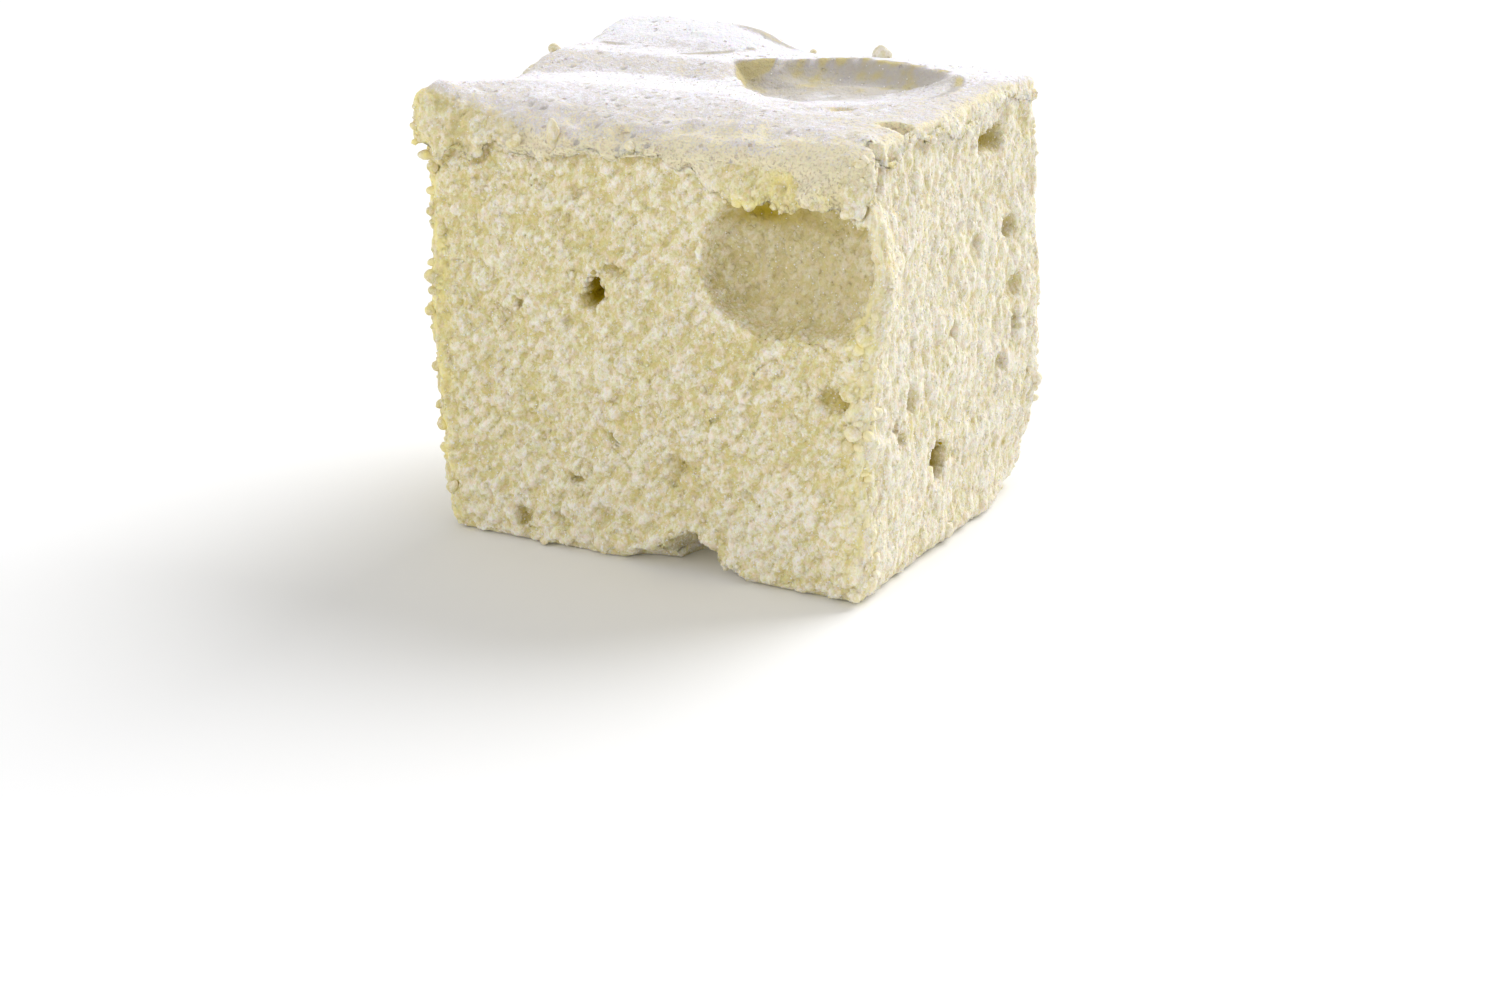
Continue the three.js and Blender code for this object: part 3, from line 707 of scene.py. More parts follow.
def skin_painted_light(points, normals, form, front):
    """Painted light on the skin: lighter where it lies level and faces back towards the key light, and at the
    back left, and darker down the lip and towards the front right."""
    x, y, _ = points.T
    level = normals @ np.array([-0.10, 0.30, 0.95])
    white = 0.75 * ramp(-0.5, 0.8, level) + 0.4 * ramp(0.8, 1.0, level) - 0.15 + 0.4 * ramp(8, 12, y)
    white = white - 0.4 * ramp(0.75, 0.25, form["share"]) * form["lipped"] * front
    white = white - 0.2 * ramp(5, 18, x - y) - 0.16 * ramp(11, 17, x)
    return white + 0.25 * ramp(4, 14, y - x) * ramp(8, 13, y)


def thin_foam_glow(points, form, front, side):
    """Painted glow where the foam is so slight that light would come through: the front's upright edges, the
    flap's lower tier, the torn ridge, and a spot of the top above the hollow."""
    x, y, z = points.T
    left_edge = bell(np.hypot(x - LEFT_EDGE[0], y - LEFT_EDGE[1]), 1.5)
    right_edge = bell(np.hypot(x - RIGHT_EDGE[0], y - RIGHT_EDGE[1]), 1.3) * ramp(30, 27, z)
    glows = spots(x, z, GLOWS) * front
    thin_glow = 1.5 * left_edge + 0.75 * right_edge + 0.3 * form["tier"] + glows + 0.6 * form["ridge"]
    spot = np.hypot((x - THIN_TOP["x"]) / THIN_TOP["wide"], (y - THIN_TOP["y"]) / THIN_TOP["long"])
    return np.clip(thin_glow, 0, 1) * side + THIN_TOP["share"] * bell(spot, 1) * (1 - side)


def dusting(points, form, front, right):
    """How much dust lies on the cut foam, with painted light and shade mixed in: in slow patches, whiter on
    the right, painted light low on the front, painted shade in the hollow, and less towards the front's left
    edge."""
    x, _, z = points.T
    dust = 0.40 + 0.40 * right + 0.16 * fractal_noise(points, 6.0, 73) - 0.20 * form["cave"]
    return dust - (0.12 * bell(x + 18, 6) - 0.12 * ramp(12, 4, z)) * front


def torn_edges(points, form, side):
    """Where nubs stand, in patches: the upright edges, the lip's lower edge and, sparsely, low down."""
    x, y, z = points.T
    upright = sum(bell(np.hypot(x - edge_x, y - edge_y), 0.9) for edge_x, edge_y in CORNER_EDGES)
    edges = upright + 0.8 * bell(form["share"] - 0.04, 0.06) * form["lipped"] + 0.06 * bell(z - 0.8, 0.5)
    edges = edges * (1 - form["cave"]) * side * ramp(-0.1, 0.7, fractal_noise(points, 3.5, 74))
    return edges * ramp(0.3, 0.7, z)


def mesh_object(name, points, faces, material, values=None, smooth=True):
    """A mesh in metres from points in millimetres, with a number at each point for each named value. It
    rides on the object's one body."""
    mesh = bpy.data.meshes.new(name)
    sizes = np.concatenate([np.full(len(part), part.shape[1]) for part in faces])
    corners = np.concatenate([part.ravel() for part in faces])
    mesh.vertices.add(len(points))
    mesh.vertices.foreach_set("co", (points * MM).astype(np.float32).ravel())
    mesh.loops.add(len(corners))
    mesh.loops.foreach_set("vertex_index", corners.astype(np.int32))
    mesh.polygons.add(len(sizes))
    mesh.polygons.foreach_set("loop_start", (np.cumsum(sizes) - sizes).astype(np.int32))
    mesh.polygons.foreach_set("use_smooth", np.full(len(sizes), smooth))
    mesh.update(calc_edges=True)
    for key, numbers in (values or {}).items():
        layer = mesh.attributes.new(key, "FLOAT", "POINT")
        layer.data.foreach_set("value", np.asarray(numbers, np.float32))
    mesh.materials.append(material)
    mesh.validate()
    made = bpy.data.objects.new(name, mesh)
    bpy.context.scene.collection.objects.link(made)
    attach(made, "root")
    return made


# ---- Crumbs and dust ----
def strewn(foam, count, weights, rng):
    """Places and outward directions on the foam, chosen by area times the mean weight of a face's corners."""
    points, triangles, normals = foam["points"], foam["triangles"], foam["normals"]
    a, b, c = (points[triangles[:, corner]] for corner in range(3))
    area = np.linalg.norm(np.cross(b - a, c - a), axis=1) / 2
    odds = area * weights[triangles].mean(1)
    picked = rng.choice(len(triangles), count, p=odds / odds.sum())
    s, t = rng.random(count), rng.random(count)
    over = s + t > 1
    s, t = np.where(over, 1 - s, s), np.where(over, 1 - t, t)
    shares = np.stack([1 - s - t, s, t], 1)[:, :, None]
    corners = triangles[picked]
    place = (points[corners] * shares).sum(1)
    way = (normals[corners] * shares).sum(1)
    return place, way / np.linalg.norm(way, axis=1, keepdims=True), corners[:, 0]


def random_turns(count, rng):
    """Rotation matrices from even random quaternions."""
    w, x, y, z = rng.normal(size=(4, count))
    length = np.sqrt(w * w + x * x + y * y + z * z)
    w, x, y, z = w / length, x / length, y / length, z / length
    rows = (
        (1 - 2 * (y * y + z * z), 2 * (x * y - w * z), 2 * (x * z + w * y)),
        (2 * (x * y + w * z), 1 - 2 * (x * x + z * z), 2 * (y * z - w * x)),
        (2 * (x * z - w * y), 2 * (y * z + w * x), 1 - 2 * (x * x + y * y)),
    )
    return np.moveaxis(np.array(rows), 2, 0)


OCTAHEDRON = (
    np.array([(1, 0, 0), (0, 1, 0), (-1, 0, 0), (0, -1, 0), (0, 0, 1), (0, 0, -1)], float),
    np.array([(0, 1, 4), (1, 2, 4), (2, 3, 4), (3, 0, 4), (1, 0, 5), (2, 1, 5), (3, 2, 5), (0, 3, 5)]),
)
CUBE = (
    np.array([(x, y, z) for z in (-1, 1) for y in (-1, 1) for x in (-1, 1)], float) / math.sqrt(3),
    np.array(
        [
            (0, 2, 3), (0, 3, 1), (4, 5, 7), (4, 7, 6), (0, 1, 5), (0, 5, 4),
            (2, 6, 7), (2, 7, 3), (0, 4, 6), (0, 6, 2), (1, 3, 7), (1, 7, 5),
        ]
    ),
)


def icosphere(divisions):
    """A ball of even triangles: an icosahedron whose faces are split in four, divisions times over."""
    g = (1 + math.sqrt(5)) / 2
    points = np.array(
        [
            (-1, g, 0), (1, g, 0), (-1, -g, 0), (1, -g, 0), (0, -1, g), (0, 1, g),
            (0, -1, -g), (0, 1, -g), (g, 0, -1), (g, 0, 1), (-g, 0, -1), (-g, 0, 1),
        ],
        float,
    )
    points /= np.linalg.norm(points[0])
    faces = np.array(
        [
            (0, 11, 5), (0, 5, 1), (0, 1, 7), (0, 7, 10), (0, 10, 11), (1, 5, 9), (5, 11, 4),
            (11, 10, 2), (10, 7, 6), (7, 1, 8), (3, 9, 4), (3, 4, 2), (3, 2, 6), (3, 6, 8),
            (3, 8, 9), (4, 9, 5), (2, 4, 11), (6, 2, 10), (8, 6, 7), (9, 8, 1),
        ]
    )
    for _ in range(divisions):
        edges = np.sort(np.concatenate([faces[:, [0, 1]], faces[:, [1, 2]], faces[:, [2, 0]]]), axis=1)
        unique, which = np.unique(edges, axis=0, return_inverse=True)
        mids = points[unique].sum(1)
        mids /= np.linalg.norm(mids, axis=1, keepdims=True)
        ab, bc, ca = np.split(which.ravel() + len(points), 3)
        a, b, c = faces.T
        points = np.concatenate([points, mids])
        quarters = (a, ab, ca), (b, bc, ab), (c, ca, bc), (ab, bc, ca)
        faces = np.concatenate([np.stack(part, 1) for part in quarters])
    return points, faces


def grains(shape, places, ways, sizes, rng, uneven=0.25, sink=0.3, flat=(0.6, 1.0)):
    """Copies of a shape at the places, each turned and squashed at random with its points moved unevenly,
    and sunk into the surface by a share of its size. Nothing reaches below the table."""
    points, faces = shape
    count = len(places)
    stretch = rng.uniform(*flat, (count, 1, 3)) * sizes[:, None, None]
    bumps = 1 + uneven * rng.uniform(-1, 1, (count, len(points), 1))
    turned = np.einsum("nij,nmj->nmi", random_turns(count, rng), points[None] * bumps * stretch)
    placed = turned + (places - ways * (sizes * sink)[:, None])[:, None, :]
    placed[..., 2] = np.maximum(placed[..., 2], 0)
    offset = np.arange(count)[:, None, None] * len(points)
    tones = np.repeat(rng.random(count), len(points))
    return placed.reshape(-1, 3), (faces[None] + offset).reshape(-1, 3), tones


# ---- Shaders ----
class Wire:
    """A socket of a shader tree, with arithmetic that adds Math nodes."""

    def __init__(self, tree, socket):
        self.tree, self.socket = tree, socket

    def maths(self, operation, *values, clamp=False):
        """A Math node on these values."""
        node = self.tree.nodes.new("ShaderNodeMath")
        node.operation, node.use_clamp = operation, clamp
        for slot_number, value in enumerate(values):
            if isinstance(value, Wire):
                self.tree.links.new(value.socket, node.inputs[slot_number])
            else:
                node.inputs[slot_number].default_value = value
        return Wire(self.tree, node.outputs[0])

    def __add__(self, other):
        return self.maths("ADD", self, other)

    def __sub__(self, other):
        return self.maths("SUBTRACT", self, other)

    def __rsub__(self, other):
        return self.maths("SUBTRACT", other, self)

    def __mul__(self, other):
        return self.maths("MULTIPLY", self, other)

    __radd__ = __add__

    def held(self):
        """The value held between 0 and 1."""
        return self.maths("ADD", self, 0.0, clamp=True)

    def most(self, other):
        """The larger of two values."""
        return self.maths("MAXIMUM", self, other)


class Finish:
    """A material whose tree ends in a Principled shader."""

    def __init__(self, name, roughness, subsurface=0.0, radius=(1, 1, 1), scale=0.0):
        self.material = bpy.data.materials.new(name)
        self.material.use_nodes = True
        self.tree = self.material.node_tree
        self.shader = self.tree.nodes["Principled BSDF"]
        self.shader.inputs["Roughness"].default_value = roughness
        self.shader.inputs["Specular IOR Level"].default_value = 0.15
        self.shader.inputs["Subsurface Weight"].default_value = subsurface
        self.shader.inputs["Subsurface Radius"].default_value = radius
        self.shader.inputs["Subsurface Scale"].default_value = scale

    def node(self, kind, settings=None, values=None, output=0):
        """A node of that kind with its settings made and its sockets set or linked."""
        node = self.tree.nodes.new(kind)
        for key, value in (settings or {}).items():
            setattr(node, key, value)
        for key, value in (values or {}).items():
            if isinstance(value, Wire):
                self.tree.links.new(value.socket, node.inputs[key])
            else:
                node.inputs[key].default_value = value
        return Wire(self.tree, node.outputs[output])

    def number(self, name):
        """A named number of the mesh's points."""
        return self.node("ShaderNodeAttribute", {"attribute_name": name}, output="Fac")

    def place(self):
        """Object coordinates in millimetres."""
        raw = self.node("ShaderNodeTexCoord", output="Object")
        return self.node("ShaderNodeMapping", {}, {"Vector": raw, "Scale": (1 / MM, 1 / MM, 1 / MM)})

    def noise(self, place, size, detail=2.0, roughness=0.5):
        """Noise from 0 to 1 with features of that many millimetres."""
        values = {"Vector": place, "Scale": 1 / size, "Detail": detail, "Roughness": roughness}
        return self.node("ShaderNodeTexNoise", {}, values)

    def cells(self, place, size):
        """Distance to the nearest of cells of that many millimetres."""
        return self.node("ShaderNodeTexVoronoi", {}, {"Vector": place, "Scale": 1 / size})

    def between(self, low, high, value):
        """How far the value is from low to high, eased and held between 0 and 1."""
        values = {"Value": value, "From Min": low, "From Max": high}
        return self.node("ShaderNodeMapRange", {"interpolation_type": "SMOOTHSTEP"}, values)

    def mixed(self, first, second, share):
        """A colour between two."""
        node = self.tree.nodes.new("ShaderNodeMix")
        node.data_type = "RGBA"
        for number, value in ((0, share), (6, first), (7, second)):
            if isinstance(value, Wire):
                self.tree.links.new(value.socket, node.inputs[number])
            else:
                node.inputs[number].default_value = (*value, 1)
        return Wire(self.tree, node.outputs[2])

    def colour(self, value):
        """Links the base colour."""
        self.tree.links.new(value.socket, self.shader.inputs["Base Color"])

    def bump(self, height, depth):
        """Raises the surface by the height times depth millimetres, in shading alone."""
        node = self.node("ShaderNodeBump", {}, {"Height": height, "Distance": depth * MM})
        self.tree.links.new(node.socket, self.shader.inputs["Normal"])


def foam_finish(settings, name="dusted_foam", glow=None):
    """Pale yellow-green foam under white dust. The dust lies on what stands up, in patches, and thins out
    in the cells and bubbles. Slight edges take a painted yellow glow, bubbles and hollows take painted shade,
    and the skin's tones follow painted light."""
    glow = settings.glow if glow is None else glow
    finish = Finish(name, 0.9, glow, settings.glow_radius, settings.glow_depth)
    place = finish.place()
    relief, skin, up = finish.number("relief"), finish.number("skin"), finish.number("up")
    dust, pore_shade, thin_glow = finish.number("dust"), finish.number("pore_shade"), finish.number("thin_glow")
    slant = {"Vector": place, "Rotation": (0, math.radians(45), 0), "Scale": (1, 1, 0.75)}
    aslant = finish.node("ShaderNodeMapping", {}, slant)
    upright = finish.node("ShaderNodeMapping", {}, {"Vector": place, "Scale": (1.1, 1.1, 0.55)})
    sideways = finish.number("sideways")
    fine, middling = (
        finish.noise(aslant, size, detail, roughness) * (1 - sideways)
        + finish.noise(upright, size, detail, roughness) * sideways
        for size, detail, roughness in ((0.36, 4.0, 0.7), (1.0, 2.0, 0.5))
    )
    specks = finish.noise(place, 0.12, 1.0)
    # The dust number carries painted light low on the front and painted shade in the hollow.
    cover = (fine - 0.5) * 3.7 + (middling - 0.5) * 1.1 + relief * 0.24 + dust + (specks - 0.5) * 0.9
    cut = finish.mixed(settings.foam_colour, settings.dust_colour, cover.held())
    tone = finish.noise(place, 0.5, 3.0, 0.6)
    cut = finish.mixed(cut, settings.peach_colour, finish.between(0.5, 0.62, tone) * 0.45)
    cut = finish.mixed(cut, settings.green_colour, finish.between(0.5, 0.38, tone) * 0.4)
    # Painted shade on the cut foam: in the large bubble, at the skin's pricks, and under the top's painted
    # shade.
    cut = finish.mixed(cut, settings.foam_shade_colour, finish.number("shade") * 0.6)
    # Painted shadow pits: small dark dots in the bubbles' shade colour, with no relief under them.
    pits = finish.between(0.26, 0.10, finish.cells(place, 1.4)) * finish.between(0.45, 0.65, middling)
    # Painted shade in open bubbles: the foam goes darker olive the deeper it lies in one, and under the flap.
    cut = finish.mixed(cut, settings.bubble_shade_colour, (pore_shade * 1.35).held().most(pits * 0.4))
    # Painted glow where light would come through the foam's slight edges.
    cut = finish.mixed(cut, settings.thin_glow_colour, (thin_glow * finish.between(0.35, 0.7, middling)).held())
    # The skin's tone mixes its grain with painted light from up: lighter where it faces up and back, darker
    # down the lip.
    grain_and_light = (fine - 0.5) * 1.4 + (specks - 0.5) * 1.0 + (middling - 0.5) * 0.8 + relief * 0.1 + up
    top = finish.mixed(settings.skin_low_colour, settings.skin_turn_colour, finish.between(0.15, 0.65, grain_and_light))
    top = finish.mixed(top, settings.skin_colour, finish.between(0.6, 1.0, grain_and_light))
    # Painted shade in the skin's tiny pits, and fine dark specks that are stronger where the painted light is
    # low.
    dots = finish.between(0.26, 0.12, finish.cells(place, 0.8)) * finish.between(0.45, 0.6, middling)
    sand = finish.between(0.5, 0.75, finish.noise(place, 0.2, 2.0, 0.7)) * (0.6 - up * 0.5)
    top = finish.mixed(top, settings.prick_shade_colour, (dots * 0.7).most(sand))
    # Painted shade on the skin: grey on the floors of its hollows, darker olive on their walls.
    wear_and_shade = (finish.number("shade") * (1.1 + (middling - 0.5) * 1.2)).held()
    top = finish.mixed(top, settings.skin_floor_shade_colour, finish.between(0.0, 0.42, wear_and_shade))
    top = finish.mixed(top, settings.skin_wall_shade_colour, finish.between(0.42, 0.85, wear_and_shade))
    finish.colour(finish.mixed(cut, top, skin * (1 - thin_glow * 0.8)))
    rough = fine * 0.8 + specks * 0.25 + finish.cells(place, 0.4) * 0.5
    finish.bump(rough - dots * skin - sand * skin, settings.grain_depth)
    return finish.material


def grain_finish(name, low_colour, high_colour, roughness):
    """Grains whose colour goes from one to the other by each grain's own tone, with a mottle."""
    finish = Finish(name, roughness)
    mottle = finish.noise(finish.place(), 0.3, 2.0)
    tone = (finish.number("tone") * 0.8 + mottle * 0.4 - 0.1).held()
    finish.colour(finish.mixed(low_colour, high_colour, tone))
    finish.bump(finish.noise(finish.place(), 0.12, 2.0), 0.04)
    return finish.material


# ---- What a user would change ----
class FoamSettings(bpy.types.PropertyGroup):
    """Relief and colours of the foam block."""

    crumb: FloatProperty(name="Crumb", description="Strength of the cut faces' relief", default=1.0, min=0)
    pits: IntProperty(name="Pits", description="Small open bubbles on each face", default=14, min=0)
    grain_depth: FloatProperty(name="Grain", description="Depth of the finest grain, mm", default=0.14)
    foam_colour: FloatVectorProperty(
        name="Foam", description="Bare cut foam", subtype="COLOR", default=(0.70, 0.60, 0.26)
    )
    dust_colour: FloatVectorProperty(
        name="Dust", description="Under starch and sugar", subtype="COLOR", default=(0.95, 0.90, 0.80)
    )
    # Painted shade deep in open bubbles, in the painted pits and under the flap.
    bubble_shade_colour: FloatVectorProperty(
        name="Bubble", description="Deep in an open bubble", subtype="COLOR", default=(0.43, 0.32, 0.01)
    )
    # A painted glow: the foam's yellow where light would come through.
    thin_glow_colour: FloatVectorProperty(
        name="Thin edge", description="Where light comes through", subtype="COLOR", default=(0.93, 0.82, 0.36)
    )
    # The skin's lit tone, where its grain and painted light are high.
    skin_colour: FloatVectorProperty(
        name="Skin", description="Raised parts of the skin", subtype="COLOR", default=(0.94, 0.92, 0.985)
    )
    # The skin's mid tone, partly painted shade where it turns down away from the light.
    skin_turn_colour: FloatVectorProperty(
        name="Skin turn", description="Where it turns down", subtype="COLOR", default=(0.745, 0.705, 0.70)
    )
    # Painted shade in the skin's tiny pits.
    prick_shade_colour: FloatVectorProperty(
        name="Pricks", description="Tiny bubbles in the skin", subtype="COLOR", default=(0.62, 0.50, 0.40)
    )
    peach_colour: FloatVectorProperty(
        name="Peach", description="Warmer patches of the dust", subtype="COLOR", default=(0.88, 0.72, 0.56)
    )
    green_colour: FloatVectorProperty(
        name="Green", description="Greener patches of the foam", subtype="COLOR", default=(0.76, 0.76, 0.42)
    )
    # The skin's low tone: the low parts of its grain and the painted shade down the lip.
    skin_low_colour: FloatVectorProperty(
        name="Skin grain", description="Low parts of the skin", subtype="COLOR", default=(0.88, 0.80, 0.565)
    )
    # Painted shade on the floors of the skin's hollows.
    skin_floor_shade_colour: FloatVectorProperty(
        name="Skin shade", description="Floors of its hollows", subtype="COLOR", default=(0.575, 0.535, 0.49)
    )
    # Painted shade on the walls of the skin's hollows.
    skin_wall_shade_colour: FloatVectorProperty(
        name="Skin hollow", description="Walls of its hollows", subtype="COLOR", default=(0.62, 0.54, 0.30)
    )
    # Painted shade on the cut foam in the large bubble.
    foam_shade_colour: FloatVectorProperty(
        name="Foam shade", description="In the large bubble", subtype="COLOR", default=(0.62, 0.555, 0.41)
    )
    glow: FloatProperty(
        name="Glow", description="Share of light that passes inside", subtype="FACTOR", default=0.4
    )
    glow_radius: FloatVectorProperty(
        name="Glow colour", description="How far each colour goes inside", default=(1.0, 0.75, 0.3)
    )
    glow_depth: FloatProperty(
        name="Glow depth", description="How far light goes inside", subtype="DISTANCE",
        default=0.0005, precision=5,
    )


class DustSettings(bpy.types.PropertyGroup):
    """Numbers, sizes and colours of the loose grains."""

    crumbs: IntProperty(name="Crumbs", description="Torn crumbs of foam", default=9000, min=1, max=9900)
    grit: IntProperty(name="Grit", description="Fine foam grit", default=22000, min=1, max=24000)
    sugar: IntProperty(name="Sugar", description="Sugar and starch grains", default=15000, min=1, max=16000)
    nubs: IntProperty(name="Nubs", description="Small torn nubs along the edges", default=320, min=0)
    crumb_size: FloatVectorProperty(
        name="Crumb size", description="Least and most radius, mm", size=2, default=(0.20, 0.42)
    )
    grit_size: FloatVectorProperty(
        name="Grit size", description="Least and most radius, mm", size=2, default=(0.10, 0.19)
    )
    sugar_size: FloatVectorProperty(
        name="Sugar size", description="Least and most radius, mm", size=2, default=(0.05, 0.12)
    )


class StageSettings(bpy.types.PropertyGroup):
    """Floor, light and camera."""

    floor_size: FloatProperty(name="Floor", description="Side of the floor", subtype="DISTANCE", default=6.0)
    sky: FloatProperty(name="Sky", description="Strength of the even light all round", default=0.55)
    sun: FloatProperty(name="Sun", description="Strength of the soft key light", default=2.6)
    sun_spread: FloatProperty(
        name="Softness", description="Spread of the key light", subtype="ANGLE", default=0.8
    )
    fill: FloatProperty(
        name="Fill", description="Strength of the very soft light from the front", default=0.95
    )
    sun_from: FloatVectorProperty(
        name="Sun from", description="Way to the key light", default=(0.30, 0.72, 0.62)
    )
    fill_from: FloatVectorProperty(
        name="Fill from", description="Way to the fill light", default=(-0.35, -0.9, 0.28)
    )
    fill_spread: FloatProperty(
        name="Fill softness", description="Spread of the fill", subtype="ANGLE", default=1.2
    )
    lens: FloatProperty(name="Lens", description="Focal length, mm", default=76.53)
    distance: FloatVectorProperty(
        name="Camera", description="Place of the camera", subtype="TRANSLATION",
        default=(0.119838, -0.214334, 0.08871), precision=4,
    )
    azimuth: FloatProperty(
        name="Azimuth", description="Camera's bearing", subtype="ANGLE", default=math.radians(28.98)
    )
    elevation: FloatProperty(
        name="Elevation", description="Downward look", subtype="ANGLE", default=math.radians(19.81)
    )
    roll: FloatProperty(
        name="Roll", description="Camera's roll", subtype="ANGLE", default=math.radians(-0.89)
    )


# What a crumb takes from the foam below it, and the foam's arrays, which crumbs and dust are strewn on.
CARRIED = ("skin", "dust", "pore_shade", "thin_glow", "up", "sideways", "shade")
MADE = {}


def more_pits(count, rng):
    """Small open bubbles at random places on the back and the left face, most of them shallow."""
    pits = []
    for face, (wide, low, high) in STREWN_PITS.items():
        for _ in range(count):
            size = 0.7 + 1.0 * rng.random() ** 2
            place = rng.uniform(-wide, wide), rng.uniform(low, high)
            pits.append((face, *place, size * rng.uniform(0.85, 1.2), size, size * rng.uniform(0.3, 0.8)))
    return pits


class MARSHMALLOW_OT_foam(bpy.types.Operator):
    """Makes the foam block with its skin, lip, hollow, bubbles and crumb"""

    bl_idname = "marshmallow.foam"
    bl_label = "Foam block"

    def execute(self, context):
        settings = context.scene.marshmallow_foam
        rng = np.random.default_rng(7)
        flat, quads, fan = box_lattice()
        points, form = block_form(flat, [*BUBBLES, *more_pits(settings.pits, rng)], rng)
        points -= (*MIDDLE, 0)
        normals = point_normals(points, quads, fan)
        way = form["way"]
        front, right = facing(way)
        side = 1 - ramp(0.5, 0.9, way[:, 2])
        skin, pleated = skin_cover(points, form, front)
        # Painted shade of the top's hollows.
        painted_top_shade = top_shade(points[:, 0] + MIDDLE[0], points[:, 1] + MIDDLE[1]) * (way[:, 2] > 0.5)
        height, pricks, base = fine_height(points, form, front, skin, pleated, painted_top_shade, settings.crumb)
        # Painted light on the skin.
        up = skin_painted_light(points, normals, form, front)
        points += normals * height[:, None]
        points[:, 2] = np.where(points[:, 2] < 0.02, 0, np.maximum(points[:, 2], 0))

        # Painted shade in the large bubble, below the lip.
        cave_shade = 0.68 * form["cave"] ** 1.4 * (1 - form["lipped"])
        foam = {
            "points": points,
            "normals": point_normals(points, quads, fan),
            "triangles": np.concatenate([quads[:, [0, 1, 2]], quads[:, [0, 2, 3]], fan]),
            "edges": torn_edges(points, form, side),
            "base": base,
            "skin": skin,
            # The bubbles' painted shade is halved on the back and left faces.
            "pore_shade": form["pore_shade"] * (1 - 0.5 * np.clip(way[:, 1] - way[:, 0], 0, 1)),
            "thin_glow": thin_foam_glow(points, form, front, side),
            # Dust, with painted light low on the front and painted shade in the hollow.
            "dust": dusting(points, form, front, right),
            "up": up,
            "sideways": ramp(0.35, 0.65, np.abs(way[:, 0])),
            # Painted shade: the top's hollows, the skin's pricks and the large bubble.
            "shade": np.maximum(np.maximum(painted_top_shade, 0.6 * pricks), cave_shade),
            "relief": np.clip(height / 0.18, -1.5, 1.5),
        }
        MADE["foam"] = foam
        values = {key: foam[key] for key in ("relief", *CARRIED)}
        block = mesh_object("foam_block", points, (quads, fan), foam_finish(settings), values)
        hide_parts(NODE)
        return {"FINISHED"}


class MARSHMALLOW_OT_crumbs(bpy.types.Operator):
    """Strews torn crumbs and fine grit over the cut faces"""

    bl_idname = "marshmallow.crumbs"
    bl_label = "Crumbs and grit"

    def execute(self, context):
        foam_look, dust = context.scene.marshmallow_foam, context.scene.marshmallow_dust
        foam = MADE["foam"]
        cut = (1 - foam["skin"]) * (1 - 0.8 * foam["pore_shade"]) * ramp(0.2, 0.8, foam["base"])
        patches = 0.25 + ramp(-0.5, 0.6, fractal_noise(foam["points"], 2.2, 81))
        for name, count, sizes, shape, seed in (
            ("foam_crumbs", dust.crumbs, dust.crumb_size, icosphere(0), 21),
            ("foam_grit", dust.grit, dust.grit_size, OCTAHEDRON, 22),
        ):
            rng = np.random.default_rng(seed)
            places, ways, source = strewn(foam, count, cut * patches, rng)
            radii = lerp(sizes[0], sizes[1], rng.random(count) ** 2)
            points, faces, tones = grains(shape, places, ways, radii, rng, sink=0.45)
            source = np.repeat(source, len(shape[0]))
            values = {key: foam[key][source] for key in CARRIED}
            values["relief"] = 1.5 * tones - 0.4
            made = mesh_object(name, points, (faces,), foam_finish(foam_look, name, 0.0), values)
        return {"FINISHED"}


class MARSHMALLOW_OT_nubs(bpy.types.Operator):
    """Sets torn nubs of foam along the edges, the lip and the back of the top"""

    bl_idname = "marshmallow.nubs"
    bl_label = "Torn nubs"

    def execute(self, context):
        foam_look, dust = context.scene.marshmallow_foam, context.scene.marshmallow_dust
        foam = MADE["foam"]
        rng = np.random.default_rng(24)
        ball, faces = icosphere(2)
        places, ways, source = strewn(foam, dust.nubs, foam["edges"], rng)
        small = lerp(0.12, 0.5, rng.random((dust.nubs, 1)) ** 2.5) * rng.uniform(0.6, 1.3, (dust.nubs, 3))
        asked = [place for place, _ in NUBS] - np.array([*MIDDLE, 0])
        near = np.array([np.argmin(np.linalg.norm(foam["points"] - place, axis=1)) for place in asked])
        halves = np.concatenate([[size for _, size in NUBS], small])
        out = 0.3 * halves[: len(NUBS)].mean(1, keepdims=True)  # the chosen ones stand a little further out
        centres = np.concatenate([foam["points"][near] + foam["normals"][near] * out, places])
        count = len(centres)
        turns = random_turns(count, rng)
        turns[: len(NUBS)] = np.eye(3)
        shaped = np.einsum("nij,nmj->nmi", turns, ball[None] * halves[:, None, :])
        points = (shaped + centres[:, None, :]).reshape(-1, 3)
        middle = np.repeat(centres, len(ball), axis=0)
        points = middle + (points - middle) * (1 + 0.5 * fractal_noise(points, 0.6, 95))[:, None]
        points[:, 2] = np.maximum(points[:, 2], 0)
        nearest = np.concatenate([near, source])
        values = {key: foam[key][np.repeat(nearest, len(ball))] for key in CARRIED}
        values["skin"] = values["skin"] * 0.3
        # A painted glow on the nubs, stronger on those along the left edge.
        light = 0.35 + 0.3 * (np.arange(count) < len(LEFT_NUBS))
        values["thin_glow"] = np.maximum(values["thin_glow"], np.repeat(light, len(ball)))
        values["relief"] = 1.5 * np.repeat(rng.random(count), len(ball)) - 0.4
        faces = (faces[None] + np.arange(count)[:, None, None] * len(ball)).reshape(-1, 3)
        made = mesh_object("torn_nubs", points, (faces,), foam_finish(foam_look, "torn_nubs", 0.0), values)
        return {"FINISHED"}


